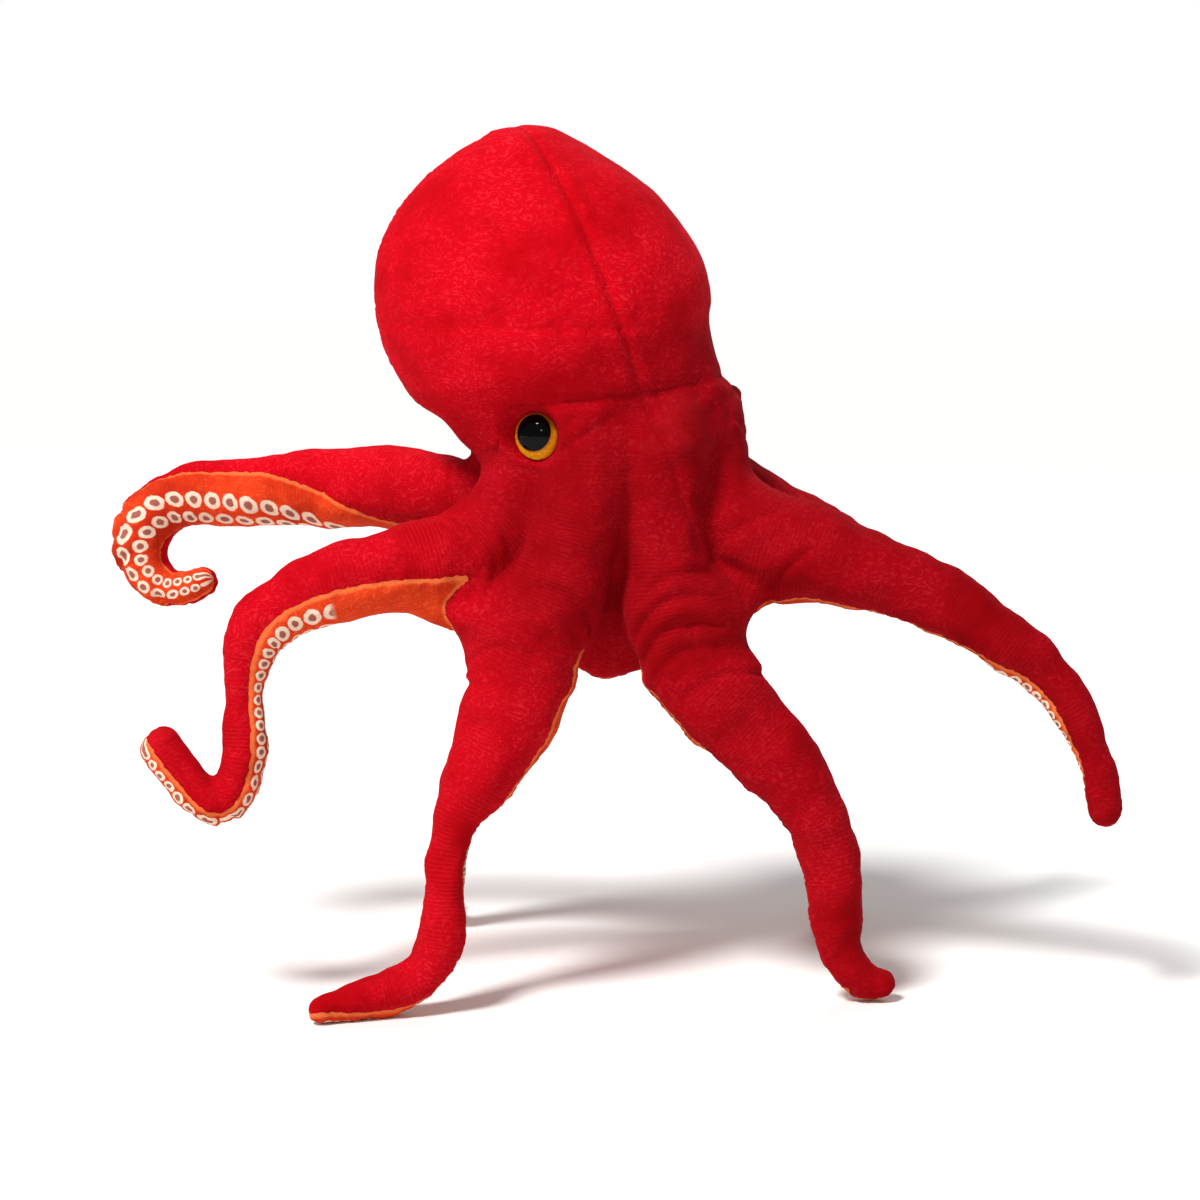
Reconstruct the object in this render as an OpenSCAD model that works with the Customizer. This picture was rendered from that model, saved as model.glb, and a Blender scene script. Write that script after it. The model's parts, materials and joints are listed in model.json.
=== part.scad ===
// Stuffed plush octopus with eight bendable arms.
// Each arm has a red velvet top panel, an orange sucker-print under panel and
// a core of polyester stuffing, in a root length and a tip length that meet at
// the place where the arm curls. Millimetres, +Z up, standing on four arms.

/* [Fabric] */
// Thickness of the short-pile velvet
fabric = 2; // [1:0.5:3]
// Air left between two pieces of one body
ease = 0.3; // [0.2:0.1:0.6]
// Air left between a core of stuffing and its velvet
core_gap = 1.4; // [1:0.1:1.8]
// Part of an arm's girth that the under panel takes, in degrees
under_arc = 156; // [120:4:190]

/* [Crown] */
// Scale of the crown's width and depth
crown_scale = 1; // [0.95:0.01:1.02]
// Depth of the crown's centre behind the middle of the frame
crown_back = 8; // [4:1:12]

/* [Mantle] */
// Lean of the mantle to the left at rest, in degrees
mantle_lean = 20; // [12:1:22]
// Depth of the mantle against its width
mantle_depth = 0.9; // [0.8:0.02:0.94]
// Height of the neck, where the mantle tilts
neck_z = 312; // [310:1:318]
// Turn of the mantle's long seam to the right of straight ahead, in degrees
seam_turn = 14; // [0:1:30]

/* [Arms] */
// Scale of every arm's thickness
arm_girth = 1; // [0.85:0.01:1.02]
// Space left at a bend, as a share of the arm's radius there
bend_gap = 0.36; // [0.34:0.01:0.45]

/* [Eyes] */
// Turn of the face to the right of straight ahead, in degrees
face_turn = 31; // [24:1:36]
// Diameter of the moulded eye
eye_d = 24; // [18:1:26]
// Height of the eye's dome
eye_dome = 6; // [4:0.5:8]
// Diameter of the eye's post
post_d = 5; // [4:0.5:6]
// Length of the eye's post behind the fabric
post_l = 17; // [14:1:20]
// Diameter of the lock washer on the post
washer_d = 17; // [16:1:22]
// Height of the eyes above the floor
eye_z = 293; // [290:1:295]
// Angle of each eye from the middle of the face, in degrees
eye_spread = 73; // [68:1:76]
// Turn of each eye towards the front from where it sits, in degrees
eye_turn = 16; // [0:1:20]

/* [Hidden] */
// Shift that brings the middle of the outline over the origin
SHIFT = [3.9, -36, -0.9];
ARM_SIDES = 12;
TOP_STEPS = 6;
UNDER_STEPS = 5;
CROWN_SIDES = 48;
MANTLE_SIDES = 40;
FINE = 48;

// Each arm from root to tip: [x, y, z, radius, twist of the panels].
ARMS = [
    // 1, raised on the left, its end curled forwards
    [[-84, 31, 251, 23, -30], [-106, 41, 256, 22, -34], [-132, 50, 258, 21, -16],
     [-166, 60, 257, 20, 28], [-202, 66, 253, 18, 58], [-232, 66, 249, 17, 70],
     [-250, 63, 235, 16, 78], [-252, 60, 216, 14, 80], [-237, 56, 202, 11, 80],
     [-218, 54, 206, 9, 80]],
    // 2, out to the left, then down, with a hooked end
    [[-90, -30, 228, 25, 4], [-112, -36, 224, 22, 12], [-138, -42, 217, 20, 22],
     [-164, -46, 208, 17, 22], [-180, -48, 194, 14, 20], [-186, -50, 170, 11, 16],
     [-186, -52, 140, 11, 12], [-190, -54, 118, 12, 6], [-202, -56, 107, 12, 0],
     [-217, -56, 121, 11, -6], [-229, -54, 137, 10, -10]],
    // 3, the front left leg
    [[-50, -43, 158, 26, -20], [-65, -51, 124, 19, -34], [-78, -57, 99, 12, -46],
     [-85, -61, 74, 11, -50], [-86, -64, 48, 12, -50], [-92, -67, 24, 12, -42],
     [-110, -72, 13, 11, -22], [-132, -80, 10, 9, -4], [-147, -87, 9, 8, 10]],
    // 4, the front right leg
    [[54, -36, 158, 25, 36], [82, -40, 129, 20, 56], [103, -42, 101, 17, 66],
     [111, -43, 75, 15, 70], [115, -43, 49, 13, 70], [118, -42, 26, 12, 66],
     [127, -42, 13, 11, 54], [138, -43, 10, 9, 44]],
    // 5, out to the right and down
    [[94, -24, 233, 26, 36], [119, -30, 227, 22, 56], [147, -36, 218, 19, 62],
     [178, -42, 203, 17, 52], [206, -46, 185, 14, 28], [228, -48, 163, 11, 18],
     [242, -50, 139, 11, 34], [249, -50, 118, 10, 58], [251, -50, 104, 9, 66]],
    // 6, behind the fifth, reaching back
    [[92, 42, 236, 25, 0], [116, 56, 225, 21, 0], [141, 72, 211, 18, 0],
     [165, 92, 198, 15, 0], [184, 112, 186, 12, 0], [198, 132, 176, 11, 0],
     [205, 147, 168, 10, 0], [207, 157, 160, 9, 0]],
    // 7, the rear left leg
    [[-45, 72, 158, 25, 0], [-60, 88, 130, 19, 0], [-76, 100, 98, 14, 0],
     [-86, 108, 70, 12, 0], [-91, 113, 44, 11, 0], [-94, 121, 22, 11, 0],
     [-96, 138, 12, 10, 0], [-97, 158, 10, 9, 0]],
    // 8, the rear right leg
    [[53, 71, 158, 25, 0], [74, 84, 130, 19, 0], [98, 95, 99, 15, 0],
     [113, 103, 70, 13, 0], [121, 109, 44, 12, 0], [125, 117, 22, 11, 0],
     [128, 134, 12, 10, 0], [131, 154, 10, 9, 0]]
];
// Place in each arm's list where the root length ends and the arm curls
BENDS = [4, 3, 2, 2, 3, 3, 2, 2];

// Crown, bottom to top: [z, x of centre, half width, half depth, lean].
CROWN = [
    [168, 0, 50, 48, 0], [174, 0, 60, 57, 0], [184, 0, 70, 63, 0], [200, 0, 76, 66, 0],
    [216, 1, 78, 67, 0], [232, 2, 77, 67, 0], [250, 3, 73, 66, 2], [268, 4, 68, 65, 5],
    [284, 4, 64, 63, 9], [294, 3, 61, 61, 12], [303, 2, 57, 56, 16]
];
// The ring of the crown that carries the eyes
EYE_ROW = CROWN[9];
// An arm that starts lower than this is a leg
LEG_LINE = 180;
// Height at which the crown swells out over a leg
LEG_SHOULDER = 184;
// How far the crown reaches past a leg's start, and how far it stops short of another arm's
LEG_REACH = 12;
ARM_REACH = -10;
// Mantle along its leaning axis: [height over the neck, shift to the right, radius].
MANTLE = [
    [17, -14, 74], [29, -16, 81], [44, -17, 84], [62, -19, 84], [81, -21, 81],
    [99, -23, 73], [114, -24, 63], [127, -22, 50], [137, -18, 36], [144, -15, 20],
    [147, -14, 5]
];
NECK_TIP_R = 7;

LENGTHS = ["root", "tip"];
LAYERS = ["top", "under", "fill"];

// ---------- curves ----------

function unit(v) = v / norm(v);
function clamp(i, n) = min(max(i, 0), n - 1);

// A smooth curve through the rows of a list, at place t
function along(list, t) =
    let (n = len(list), i = clamp(floor(t), n - 1), f = t - i,
         a = list[clamp(i - 1, n)], b = list[i], c = list[clamp(i + 1, n)],
         d = list[clamp(i + 2, n)])
    0.5 * (2 * b + (c - a) * f + (2 * a - 5 * b + 4 * c - d) * f * f
           + (3 * b - a - 3 * c + d) * f * f * f);

function place(arm, t) = let (p = along(arm, t)) [p[0], p[1], p[2]];
function heading(arm, t) = unit(place(arm, t + 0.02) - place(arm, t - 0.02));

// The level line across an arm, about which it lifts and curls
function hinge_line(arm) =
    let (d = place(arm, 2) - place(arm, 0)) unit([d[1], -d[0], 0]);

// Direction of the middle of the top panel
function upward(arm, t) =
    let (h = heading(arm, t), u = unit(cross(hinge_line(arm), h)), w = along(arm, t)[4])
    u * cos(w) + cross(h, u) * sin(w);

// One ring round an arm, from angle a to angle b off the middle of the top panel
function arm_ring(arm, t, forward, r, a, b, steps) =
    let (h = heading(arm, t), u = upward(arm, t), s = cross(u, h), c = place(arm, t) + h * forward)
    [for (i = [0:steps]) let (w = 90 + a + (b - a) * i / steps) c + r * (s * cos(w) + u * sin(w))];

// Stations of an arm's length: [t, forward, share of radius]. The root length
// runs from the crown to the bend, the tip length from the bend to the round end.
function bend_share(arm, t) = bend_gap * along(arm, t)[3] / norm(place(arm, t + 0.5) - place(arm, t - 0.5));
ROUND_END = [30, 55, 75];
function stations(arm, bend, part) =
    let (last = len(arm) - 1,
         t0 = part == "root" ? bend_gap * arm[0][3] / norm(place(arm, 1) - place(arm, 0))
                             : bend + bend_share(arm, bend),
         t1 = part == "root" ? bend - bend_share(arm, bend) : last,
         n = part == "root" ? 6 : 9)
    concat([for (i = [0:n]) [t0 + (t1 - t0) * i / n, 0, 0]],
           part == "root" ? [] : [for (w = ROUND_END) [last, sin(w), 1 - cos(w)]]);

// ---------- solids from rings ----------

// A closed body through rings of equal length
module loft(rings) {
    m = len(rings);
    n = len(rings[0]);
    polyhedron(
        points = [for (ring = rings) each ring],
        faces = concat(
            [[for (i = [0:n - 1]) i]],
            [for (j = [0:m - 2], i = [0:n - 1]) let (k = (i + 1) % n)
                each [[j * n + i, (j + 1) * n + i, (j + 1) * n + k],
                      [j * n + i, (j + 1) * n + k, j * n + k]]],
            [[for (i = [n - 1:-1:0]) (m - 1) * n + i]]));
}

// A sewn panel between outer and inner arcs, open at its two side edges
module panel(outer, inner) {
    m = len(outer);
    n = len(outer[0]);
    w = 2 * m;
    end = (n - 1) * w;
    polyhedron(
        points = [for (i = [0:n - 1]) each concat(
            [for (j = [0:m - 1]) outer[j][i]], [for (j = [m - 1:-1:0]) inner[j][i]])],
        faces = concat(
            [for (i = [0:n - 2], j = [0:w - 1]) let (k = (j + 1) % w)
                each [[i * w + j, i * w + k, (i + 1) * w + k],
                      [i * w + j, (i + 1) * w + k, (i + 1) * w + j]]],
            [for (j = [0:m - 2]) each [[j, w - 1 - j, w - 2 - j], [j, w - 2 - j, j + 1]]],
            [for (j = [0:m - 2]) each [[end + j, end + w - 2 - j, end + w - 1 - j],
                                       [end + j, end + j + 1, end + w - 2 - j]]]));
}

// ---------- arms ----------

function arm_radius(arm, s, inset) =
    let (r = along(arm, s[0])[3] * arm_girth - inset) r * (1 - s[2]);
function arc_degrees(span, r) = span / r * 180 / PI;
function arm_forward(arm, s, inset) = s[1] * (along(arm, s[0])[3] * arm_girth - inset);

function arm_arcs(arm, bend, part, inset, a, b, steps) =
    [for (s = stations(arm, bend, part))
        let (r = arm_radius(arm, s, inset), slack = arc_degrees(ease / 2, r))
        arm_ring(arm, s[0], arm_forward(arm, s, inset), r, a + slack, b - slack, steps)];

module arm_panel(index, part, a, b, steps) {
    arm = ARMS[index];
    panel(arm_arcs(arm, BENDS[index], part, 0, a, b, steps),
          arm_arcs(arm, BENDS[index], part, fabric, a, b, steps));
}

// Stuffing of one length, with a blunt cone at each bend so that it can turn
module arm_fill(index, part) {
    arm = ARMS[index];
    inset = fabric + core_gap;
    full = 360 - 360 / ARM_SIDES;
    list = stations(arm, BENDS[index], part);
    first = list[0];
    last = list[len(list) - 1];
    cone = bend_gap / 2;
    loft(concat(
        [cone_ring(arm, first[0], -cone, full)],
        [for (s = list) arm_ring(arm, s[0], arm_forward(arm, s, inset), arm_radius(arm, s, inset),
                                 0, full, ARM_SIDES - 1)],
        part == "root" ? [cone_ring(arm, last[0], cone, full)] : []));
}
function cone_ring(arm, t, forward, full) =
    let (r = along(arm, t)[3] * arm_girth - fabric - core_gap)
    arm_ring(arm, t, forward * r, r / 2, 0, full, ARM_SIDES - 1);

module arm_piece(index, part, layer) {
    half = under_arc / 2;
    if (layer == "top")
        color("crimson") arm_panel(index, part, half - 180, 180 - half, TOP_STEPS);
    if (layer == "under")
        color("darkorange") arm_panel(index, part, 180 - half, 180 + half, UNDER_STEPS);
    if (layer == "fill")
        color("white") arm_fill(index, part);
}

// ---------- crown ----------

// The crown swells towards the start of each arm, over this turn in degrees and this height
SWELL_TURN = 24;
SWELL_RISE = 24;
function is_leg(p) = p[2] < LEG_LINE;
function swell_z(p) = is_leg(p) ? LEG_SHOULDER : p[2];
function reach(p) = norm([p[0], p[1] - crown_back]) + (is_leg(p) ? LEG_REACH : ARM_REACH);
function bearing(p) = atan2(p[1] - crown_back, p[0]);
function turn_between(a, b) = abs((a - b + 540) % 360 - 180);
function swell(w, z, r) =
    max([for (arm = ARMS) let (p = arm[0])
        (reach(p) - r) * exp(-pow(turn_between(w, bearing(p)) / SWELL_TURN, 2)
                           - pow((z - swell_z(p)) / SWELL_RISE, 2))]);
function oval(w, a, b) = 1 / norm([cos(w) / a, sin(w) / b]);

function crown_ring(row, inset, drop) =
    [for (i = [0:CROWN_SIDES - 1])
        let (w = 360 * i / CROWN_SIDES, r = oval(w, row[2], row[3]),
             full = (r + max(0, swell(w, row[0], r))) * crown_scale - inset)
        [row[1] + full * cos(w) * cos(row[4]), crown_back + full * sin(w),
         row[0] - drop + full * cos(w) * sin(row[4])]];

module crown_top() {
    color("crimson")
        panel_round([for (row = CROWN) crown_ring(row, 0, 0)],
                    [for (row = CROWN) crown_ring(row, fabric, 0)]);
}

// A panel that runs right round, joined to itself
module panel_round(outer, inner) {
    m = len(outer);
    n = len(outer[0]);
    w = 2 * m;
    polyhedron(
        points = [for (i = [0:n - 1]) each concat(
            [for (j = [0:m - 1]) outer[j][i]], [for (j = [m - 1:-1:0]) inner[j][i]])],
        faces = [for (i = [0:n - 1], j = [0:w - 1]) let (k = (j + 1) % w, p = (i + 1) % n)
            each [[i * w + j, i * w + k, p * w + k], [i * w + j, p * w + k, p * w + j]]]);
}

// The orange lining that closes the crown from below
module crown_under() {
    inset = fabric + ease;
    color("darkorange")
        loft([crown_ring(CROWN[0], inset, 0), crown_ring(CROWN[0], inset, -fabric)]);
}

module crown_fill() {
    inset = fabric + core_gap;
    top = CROWN[len(CROWN) - 1];
    tip = [neck_z - 1, 0, NECK_TIP_R + inset, NECK_TIP_R + inset, mantle_lean];
    color("white")
        loft(concat([crown_ring(CROWN[0], inset, -inset)],
                    [for (i = [1:len(CROWN) - 1]) crown_ring(CROWN[i], inset, 0)],
                    [crown_ring(tip, inset, 0)]));
}

// ---------- mantle ----------

function mantle_ring(row, inset, a, b, steps) =
    let (r = row[2] - inset)
    [for (i = [0:steps]) let (w = a + (b - a) * i / steps)
        [row[1] + r * cos(w), mantle_depth * r * sin(w), row[0]]];
// An inner row sinks under the outer one, from this height to the top
SINK_FROM = 100;
SINK_SPAN = 47;
function drawn_in(row, inset) =
    [row[0] - inset * max(0, row[0] - SINK_FROM) / SINK_SPAN, row[1], row[2]];

module mantle_frame() {
    translate([0, crown_back, neck_z]) rotate([0, -mantle_lean, 0]) children();
}

// One of the two halves sewn together over the top, from angle a to angle b
module mantle_gore(a, b) {
    slack = 0.2;
    steps = MANTLE_SIDES / 2;
    mantle_frame()
        panel([for (row = MANTLE) mantle_ring(row, 0, a + slack, b - slack, steps)],
              [for (row = MANTLE)
                  mantle_ring(drawn_in(row, fabric), min(fabric, row[2] / 3), a + slack, b - slack, steps)]);
}

module mantle_right() { color("crimson") mantle_gore(seam_turn - 90, seam_turn + 90); }
module mantle_left() { color("crimson") mantle_gore(seam_turn + 90, seam_turn + 270); }

module mantle_fill() {
    inset = fabric + core_gap;
    full = 360 - 360 / MANTLE_SIDES;
    color("white") mantle_frame()
        loft(concat(
            [mantle_ring([1, 0, NECK_TIP_R], 0, 0, full, MANTLE_SIDES - 1)],
            [for (row = MANTLE)
                mantle_ring(drawn_in(row, inset), min(inset, row[2] / 2), 0, full, MANTLE_SIDES - 1)]));
}

// ---------- eyes ----------

EYE_RIM = 2;
WASHER_T = 2;
WASHER_BACK = 11.5;
WASHER_PLAY = 0.4;

// Puts an eye on the crown's side, facing out, at an angle from the middle of the face
module on_crown(side) {
    w = face_turn + side * eye_spread;
    out = oval(w - 90, EYE_ROW[2], EYE_ROW[3]) * crown_scale;
    translate([EYE_ROW[1] + out * sin(w), crown_back - out * cos(w), eye_z])
        rotate([90, 0, w - side * eye_turn]) children();
}

module eye(side) {
    color("gold") on_crown(side) {
        translate([0, 0, -1]) cylinder(d = eye_d, h = EYE_RIM, $fn = FINE);
        translate([0, 0, EYE_RIM - 1]) dome();
        translate([0, 0, -1 - post_l]) cylinder(d = post_d, h = post_l, $fn = FINE);
    }
}

// The domed front of an eye, a cap of a large sphere
module dome() {
    r = eye_d / 2;
    ball = (r * r + eye_dome * eye_dome) / (2 * eye_dome);
    intersection() {
        translate([0, 0, eye_dome - ball]) sphere(r = ball, $fn = FINE);
        cylinder(d = eye_d, h = eye_dome, $fn = FINE);
    }
}

module washer(side) {
    color("ivory") on_crown(side)
        translate([0, 0, -WASHER_BACK - WASHER_T]) difference() {
            cylinder(d = washer_d, h = WASHER_T, $fn = FINE);
            translate([0, 0, -1]) cylinder(d = post_d + WASHER_PLAY, h = WASHER_T + 2, $fn = FINE);
        }
}

module eye_left() { eye(-1); }
module eye_right() { eye(1); }
module washer_left() { washer(-1); }
module washer_right() { washer(1); }

// ---------- the pieces ----------

translate(SHIFT) {
    for (a = [1:len(ARMS)], l = LENGTHS, k = LAYERS)
        arm_piece(a - 1, l, k);
    crown_top();
    crown_under();
    crown_fill();
    mantle_left();
    mantle_right();
    mantle_fill();
    eye_left();
    eye_right();
    washer_left();
    washer_right();
}
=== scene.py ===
"""Stuffed plush octopus: velvet skin, printed under panels, stuffing and eyes round the CAD frame.

The skin is one closed form. A distance field is filled from the CAD arms, crown and mantle, a
surface is drawn through it, and that surface is cut along its seams and at its bends into panels.
"""

import json
import math

import bpy
import numpy as np
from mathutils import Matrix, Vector


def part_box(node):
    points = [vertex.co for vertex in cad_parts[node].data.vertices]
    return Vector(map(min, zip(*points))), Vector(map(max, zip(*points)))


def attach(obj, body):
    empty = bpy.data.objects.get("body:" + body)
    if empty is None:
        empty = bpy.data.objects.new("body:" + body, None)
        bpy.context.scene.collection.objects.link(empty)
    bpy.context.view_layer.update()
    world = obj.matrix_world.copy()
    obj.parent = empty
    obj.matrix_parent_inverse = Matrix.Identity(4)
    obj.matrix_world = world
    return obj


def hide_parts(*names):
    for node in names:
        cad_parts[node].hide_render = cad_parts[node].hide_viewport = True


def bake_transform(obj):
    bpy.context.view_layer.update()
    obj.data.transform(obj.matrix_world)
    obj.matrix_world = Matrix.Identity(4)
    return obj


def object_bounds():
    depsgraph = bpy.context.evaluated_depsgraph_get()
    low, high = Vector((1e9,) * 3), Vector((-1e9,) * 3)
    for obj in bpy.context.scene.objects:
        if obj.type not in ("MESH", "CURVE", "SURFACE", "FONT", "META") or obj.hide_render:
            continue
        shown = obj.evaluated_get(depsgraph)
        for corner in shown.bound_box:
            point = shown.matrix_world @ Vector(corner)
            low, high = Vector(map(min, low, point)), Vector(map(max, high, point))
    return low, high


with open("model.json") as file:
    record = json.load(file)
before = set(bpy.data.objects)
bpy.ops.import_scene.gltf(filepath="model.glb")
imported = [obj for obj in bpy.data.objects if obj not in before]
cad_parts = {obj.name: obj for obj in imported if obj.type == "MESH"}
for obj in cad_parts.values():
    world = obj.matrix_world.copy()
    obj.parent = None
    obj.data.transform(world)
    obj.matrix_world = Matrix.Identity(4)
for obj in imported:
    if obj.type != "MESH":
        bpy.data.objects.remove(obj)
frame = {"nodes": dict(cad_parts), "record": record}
cad_box = [list(corner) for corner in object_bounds()]
MM = 0.001

# ---------------------------------------------------------------- driving values

STEP = 2.0 * MM     # spacing of the distance field
MARGIN = 12 * MM                                # field beyond the CAD box
FIELD_FAR = 1.0                                 # the field before any form is in it
CORNERS = [(x, y, z) for x in (0, 1) for y in (0, 1) for z in (0, 1)]
RELAX_ROUNDS, RELAX_SHARE, RELAX_FLATTEST = 4, 0.6, 0.2
JOIN = 0.01 * MM                                # CAD points this close are one
ARMS = range(1, 9)
ARM_SIDES, CROWN_SIDES, MANTLE_SIDES = 12, 48, 40
CROWN_RING, MANTLE_RING = 3, 4                  # CAD rings that give the crown's axis and the mantle's lean
SAMPLES = 3                                     # centreline rows between two CAD rings
RING_FLAT = 0.4 * MM                            # a panel's points this near a ring's plane belong to it
RING_REACH = 4 * MM                             # and this far beyond the skin
SKIN_GAP = 3.4 * MM                             # from a CAD stuffing's surface to the outside of its velvet

# the ridges that carry the arms up over the crown to the neck
RIDGE_BEARINGS = (160, 208, 254, 304, 346, 20, 108, 60)     # degrees round the crown from +X, by arm
RIDGE_ROWS = 16
RIDGE_LEAD = 0.36                               # length of a ridge's straight ends, against its span
RIDGE_TOP_OUT = 46 * MM
RIDGE_TOP_DROP = 26 * MM
RIDGE_TOP_R = 23 * MM
RIDGE_K = 4 * MM                                # softness of the valleys between the ridges
# the web between two arms: its softness, and the heights where it starts and is full
WEBS = {
    2: (30 * MM, 0.205, 0.175),                 # with the first arm
    3: (60 * MM, 0.235, 0.195),                 # with the second
    4: (52 * MM, 0.192, 0.160),                 # with the third
    5: (60 * MM, 0.235, 0.200),                 # with the fourth
    6: (36 * MM, 0.225, 0.190),                 # with the fifth
    7: (44 * MM, 0.225, 0.185),                 # with the first
    8: (44 * MM, 0.215, 0.180),                 # with the sixth and seventh
}
WEB_REACH = 30 * MM                             # arms, crown and mantle change the field this far out
NECK_K = 16 * MM
NECK_REACH = 60 * MM                            # the mantle's form goes this far under its stuffing
CORE_K = 7 * MM                                 # softness between the ridges and the core under them
CORE_INSET = 28 * MM                            # how far the crown's core lies under its ridges
CORE_EDGE = 12 * MM                             # rounding of the core's ends
CORE_SLOPE = 0.9
CORE_LEVELS = 60
# the mantle under the CAD rings, closed inside the crown: height, shift and radius in mm
NECK_ROWS = [(-76, -2, 0), (-70, -2, 26), (-50, -2, 50), (-24, -2, 60), (-12, -6, 64), (0, -11, 69)]
MANTLE_TOP = 148 * MM
MANTLE_SINK_FROM = 100 * MM                     # the CAD stuffing sinks from here up
MANTLE_SUNK = 3 * MM
MANTLE_SAMPLES = 4

EYE_DOME = 6 * MM
LID_TURNS = (165, 130, 95, 60, 25)              # degrees round the eye
LID_R, LID_REACH, LID_OUT = 5.5 * MM, 1.26, -2.5 * MM
LID_K = 5 * MM
BROW_IN = 8 * MM                                # from an eye's rim towards the middle of the face
BROW_TAPER = 0.75
# a brow by its eye: radius, and its ends as inner (in the distance above), up and out
BROWS = {
    "left": (7 * MM, (1.0, 18 * MM, -8 * MM), (1.1, -10 * MM, -12 * MM)),
    "right": (10 * MM, (1.0, 10 * MM, -7 * MM), (1.0, -22 * MM, -1 * MM)),
}
# the gusset sewn in between the front legs: from, to, radius at each end
GUSSET = (np.array([3, -36, 196]) * MM, np.array([4, -42, 174]) * MM, 15 * MM, 11 * MM)
GUSSET_K = 22 * MM
STROKE_REACH = 60 * MM                          # the lids, brows and gusset change it this far out

SIDE_BLUR = 10 * MM                             # arms share their side seams over about this far
SEAM_DROPS = np.array([0.20, 0.30, 0.30, 0.42, 0.30, 0.20, 0.20, 0.20])     # of an arm's radius
PRINT_TURNS = [0, 0.38, 0, 0, -0.45, 0, 0, 0]                               # how far off the middle
# how light the pile is drawn, partly for the way its nap lies and partly as painted light and shade that
# follow the key light from the upper left: on the mantle, on the crown and on each arm
MANTLE_NAP_SHADING, CROWN_NAP_SHADING = 1.07, 0.54
ARM_NAP_SHADINGS = np.array([0.68, 0.88, 0.84, 0.58, 0.52, 0.60, 0.80, 0.62])
NAP_SHADING_TURNS = (-55 * MM, 20 * MM)                 # along an arm, from the crown's nap shading to its own
NAP_SHADING_UP = (-0.6, 0, 1)
NAP_SHADING_RISES = (-24 * MM, 56 * MM)                 # along that way, from the crown's nap shading to the mantle's; the painted light grows upwards and to the left
RED_OVER = 0.212                    # all is red over this height, near the crown's axis
RED_WITHIN = 66 * MM
MANTLE_START = 2 * MM
NECK_UP = (-0.12, 0, 1)                         # square to the neck seam
SEAM_DIP = 48 * MM                              # the neck seam dips this far left of the left eye
DIP_REACH = (52 * MM, 66 * MM)
NECK_NEAR = -10 * MM
FACE_TURN = math.radians(14)
FACE_SHIFT = 1 * MM

LIFT_START, LIFT_END = -6 * MM, 26 * MM         # the skin's bend at an arm's root, from its hinge
BEND_HALF = 14 * MM                             # half length of the skin's bend at a curl
LAP = 2 * MM                                    # a bend's piece goes this far past the bend
NEAR_CURL = 34 * MM                             # within this of a curl, borders are square to it
FAR = 60 * MM                                   # how far from an arm its skin is looked for
SNAP = 0.14 * STEP                              # points this near a border are moved onto it
BORDER_NEAR = 3 * STEP
EVEN_ROUNDS = 4

# seams, puckers and creases: how deep or high, how wide, and where they start and are full
SEAM_DEPTH, SEAM_WIDTH = 1.3 * MM, 3.2 * MM
SEAM_LEAST, SEAM_PUCKER = 0.75, 0.5
PUCKER_PITCH, PUCKER_SWAY = 7.5 * MM, 3
PUCKER_DEPTH, PUCKER_SPREAD, PUCKER_OUT = 0.5 * MM, 3 * MM, 5 * MM
ON_MANTLE = (-2 * MM, 4 * MM)
MANTLE_SEAM, MANTLE_SEAM_W = 1.6 * MM, 2.4 * MM
MANTLE_SWELL, MANTLE_SWELL_OUT, MANTLE_SWELL_W = 0.5 * MM, 6 * MM, 4 * MM
MANTLE_CREST = 0.455                            # the long seam hardly dips over the top
CREST_FADE = 40 * MM
CREST_LEAST = 0.3
CHIN_SEAM, CHIN_SEAM_W, CHIN_SHIFT = 1.1 * MM, 2.4 * MM, 3 * MM
CHIN_FRONT, CHIN_RISE = (0.02, 0.04), (0.2, 0.26)
NECK_SEAM, NECK_SEAM_W = 1.1 * MM, 3 * MM
NECK_SEAM_FADE = (-14 * MM, -4 * MM)
CREASE_PITCH, CREASE_DEPTH, CREASE_SWAY = 11 * MM, 2.2 * MM, 2
CREASE_INNER, CREASE_SHARE = (0.1, 0.9), (0.1, 1)
CREASE_TIGHT = (0.25, 0.8)                      # radius over bend, from no creases to deepest
MANTLE_CALM = 0.6                               # how much smoother the mantle is stuffed than the arms
LUMPS = [(52, 3, 1.3), (24, 7, 0.55), (10, 11, 0.22)]       # wavelength in mm, seed, height in mm
CREASE_END = 0.35                   # depth of a face crease at its ends, against its middle
FACE_DEPTH = 26 * MM                # creases reach this far in front of and behind an eye's plane
FOLD_FACING = (0.15, 0.75)          # a fold fades in between these cosines from where it faces
FOLD_CLEAR = 14 * MM                # folds fade out this near to the next arm
FOLD_REACH = 32 * MM
FOLD_BOW = 0.5                      # how far the ends of a fold sag, against its width
FOLD_SWELL = 0.25                   # how far the fabric swells beside a fold, against its depth
FOLD_BESIDE, FOLD_SPREAD = 2.1, 1.5             # where it swells and how wide, against the fold's width
EYE_SINK, EYE_RIM, EYE_SLOPE = -1.4 * MM, 0.97, 1.3
EYE_REST, EYE_CLEAR = 1.1, 1.75                 # in eye radii, from where the skin is pressed in to free

FILL_STEP = 4 * MM
FILL_INSET = 4.5 * MM
TUFT = 0.5 * MM


# ---------------------------------------------------------------- reading the frame

def unit(v):
    return v / np.maximum(np.linalg.norm(v, axis=-1, keepdims=True), 1e-12)


def node_mesh(name):
    """A CAD node's points and triangles, with doubled points joined."""
    mesh = frame["nodes"][name].data
    mesh.calc_loop_triangles()
    points = np.empty(len(mesh.vertices) * 3)
    mesh.vertices.foreach_get("co", points)
    points = points.reshape(-1, 3)
    triangles = np.empty(len(mesh.loop_triangles) * 3, dtype=int)
    mesh.loop_triangles.foreach_get("vertices", triangles)
    keys = np.round(points / JOIN).astype(int)
    _, first, back = np.unique(keys, axis=0, return_index=True, return_inverse=True)
    return points[first], back.reshape(-1)[triangles].reshape(-1, 3)


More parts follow.
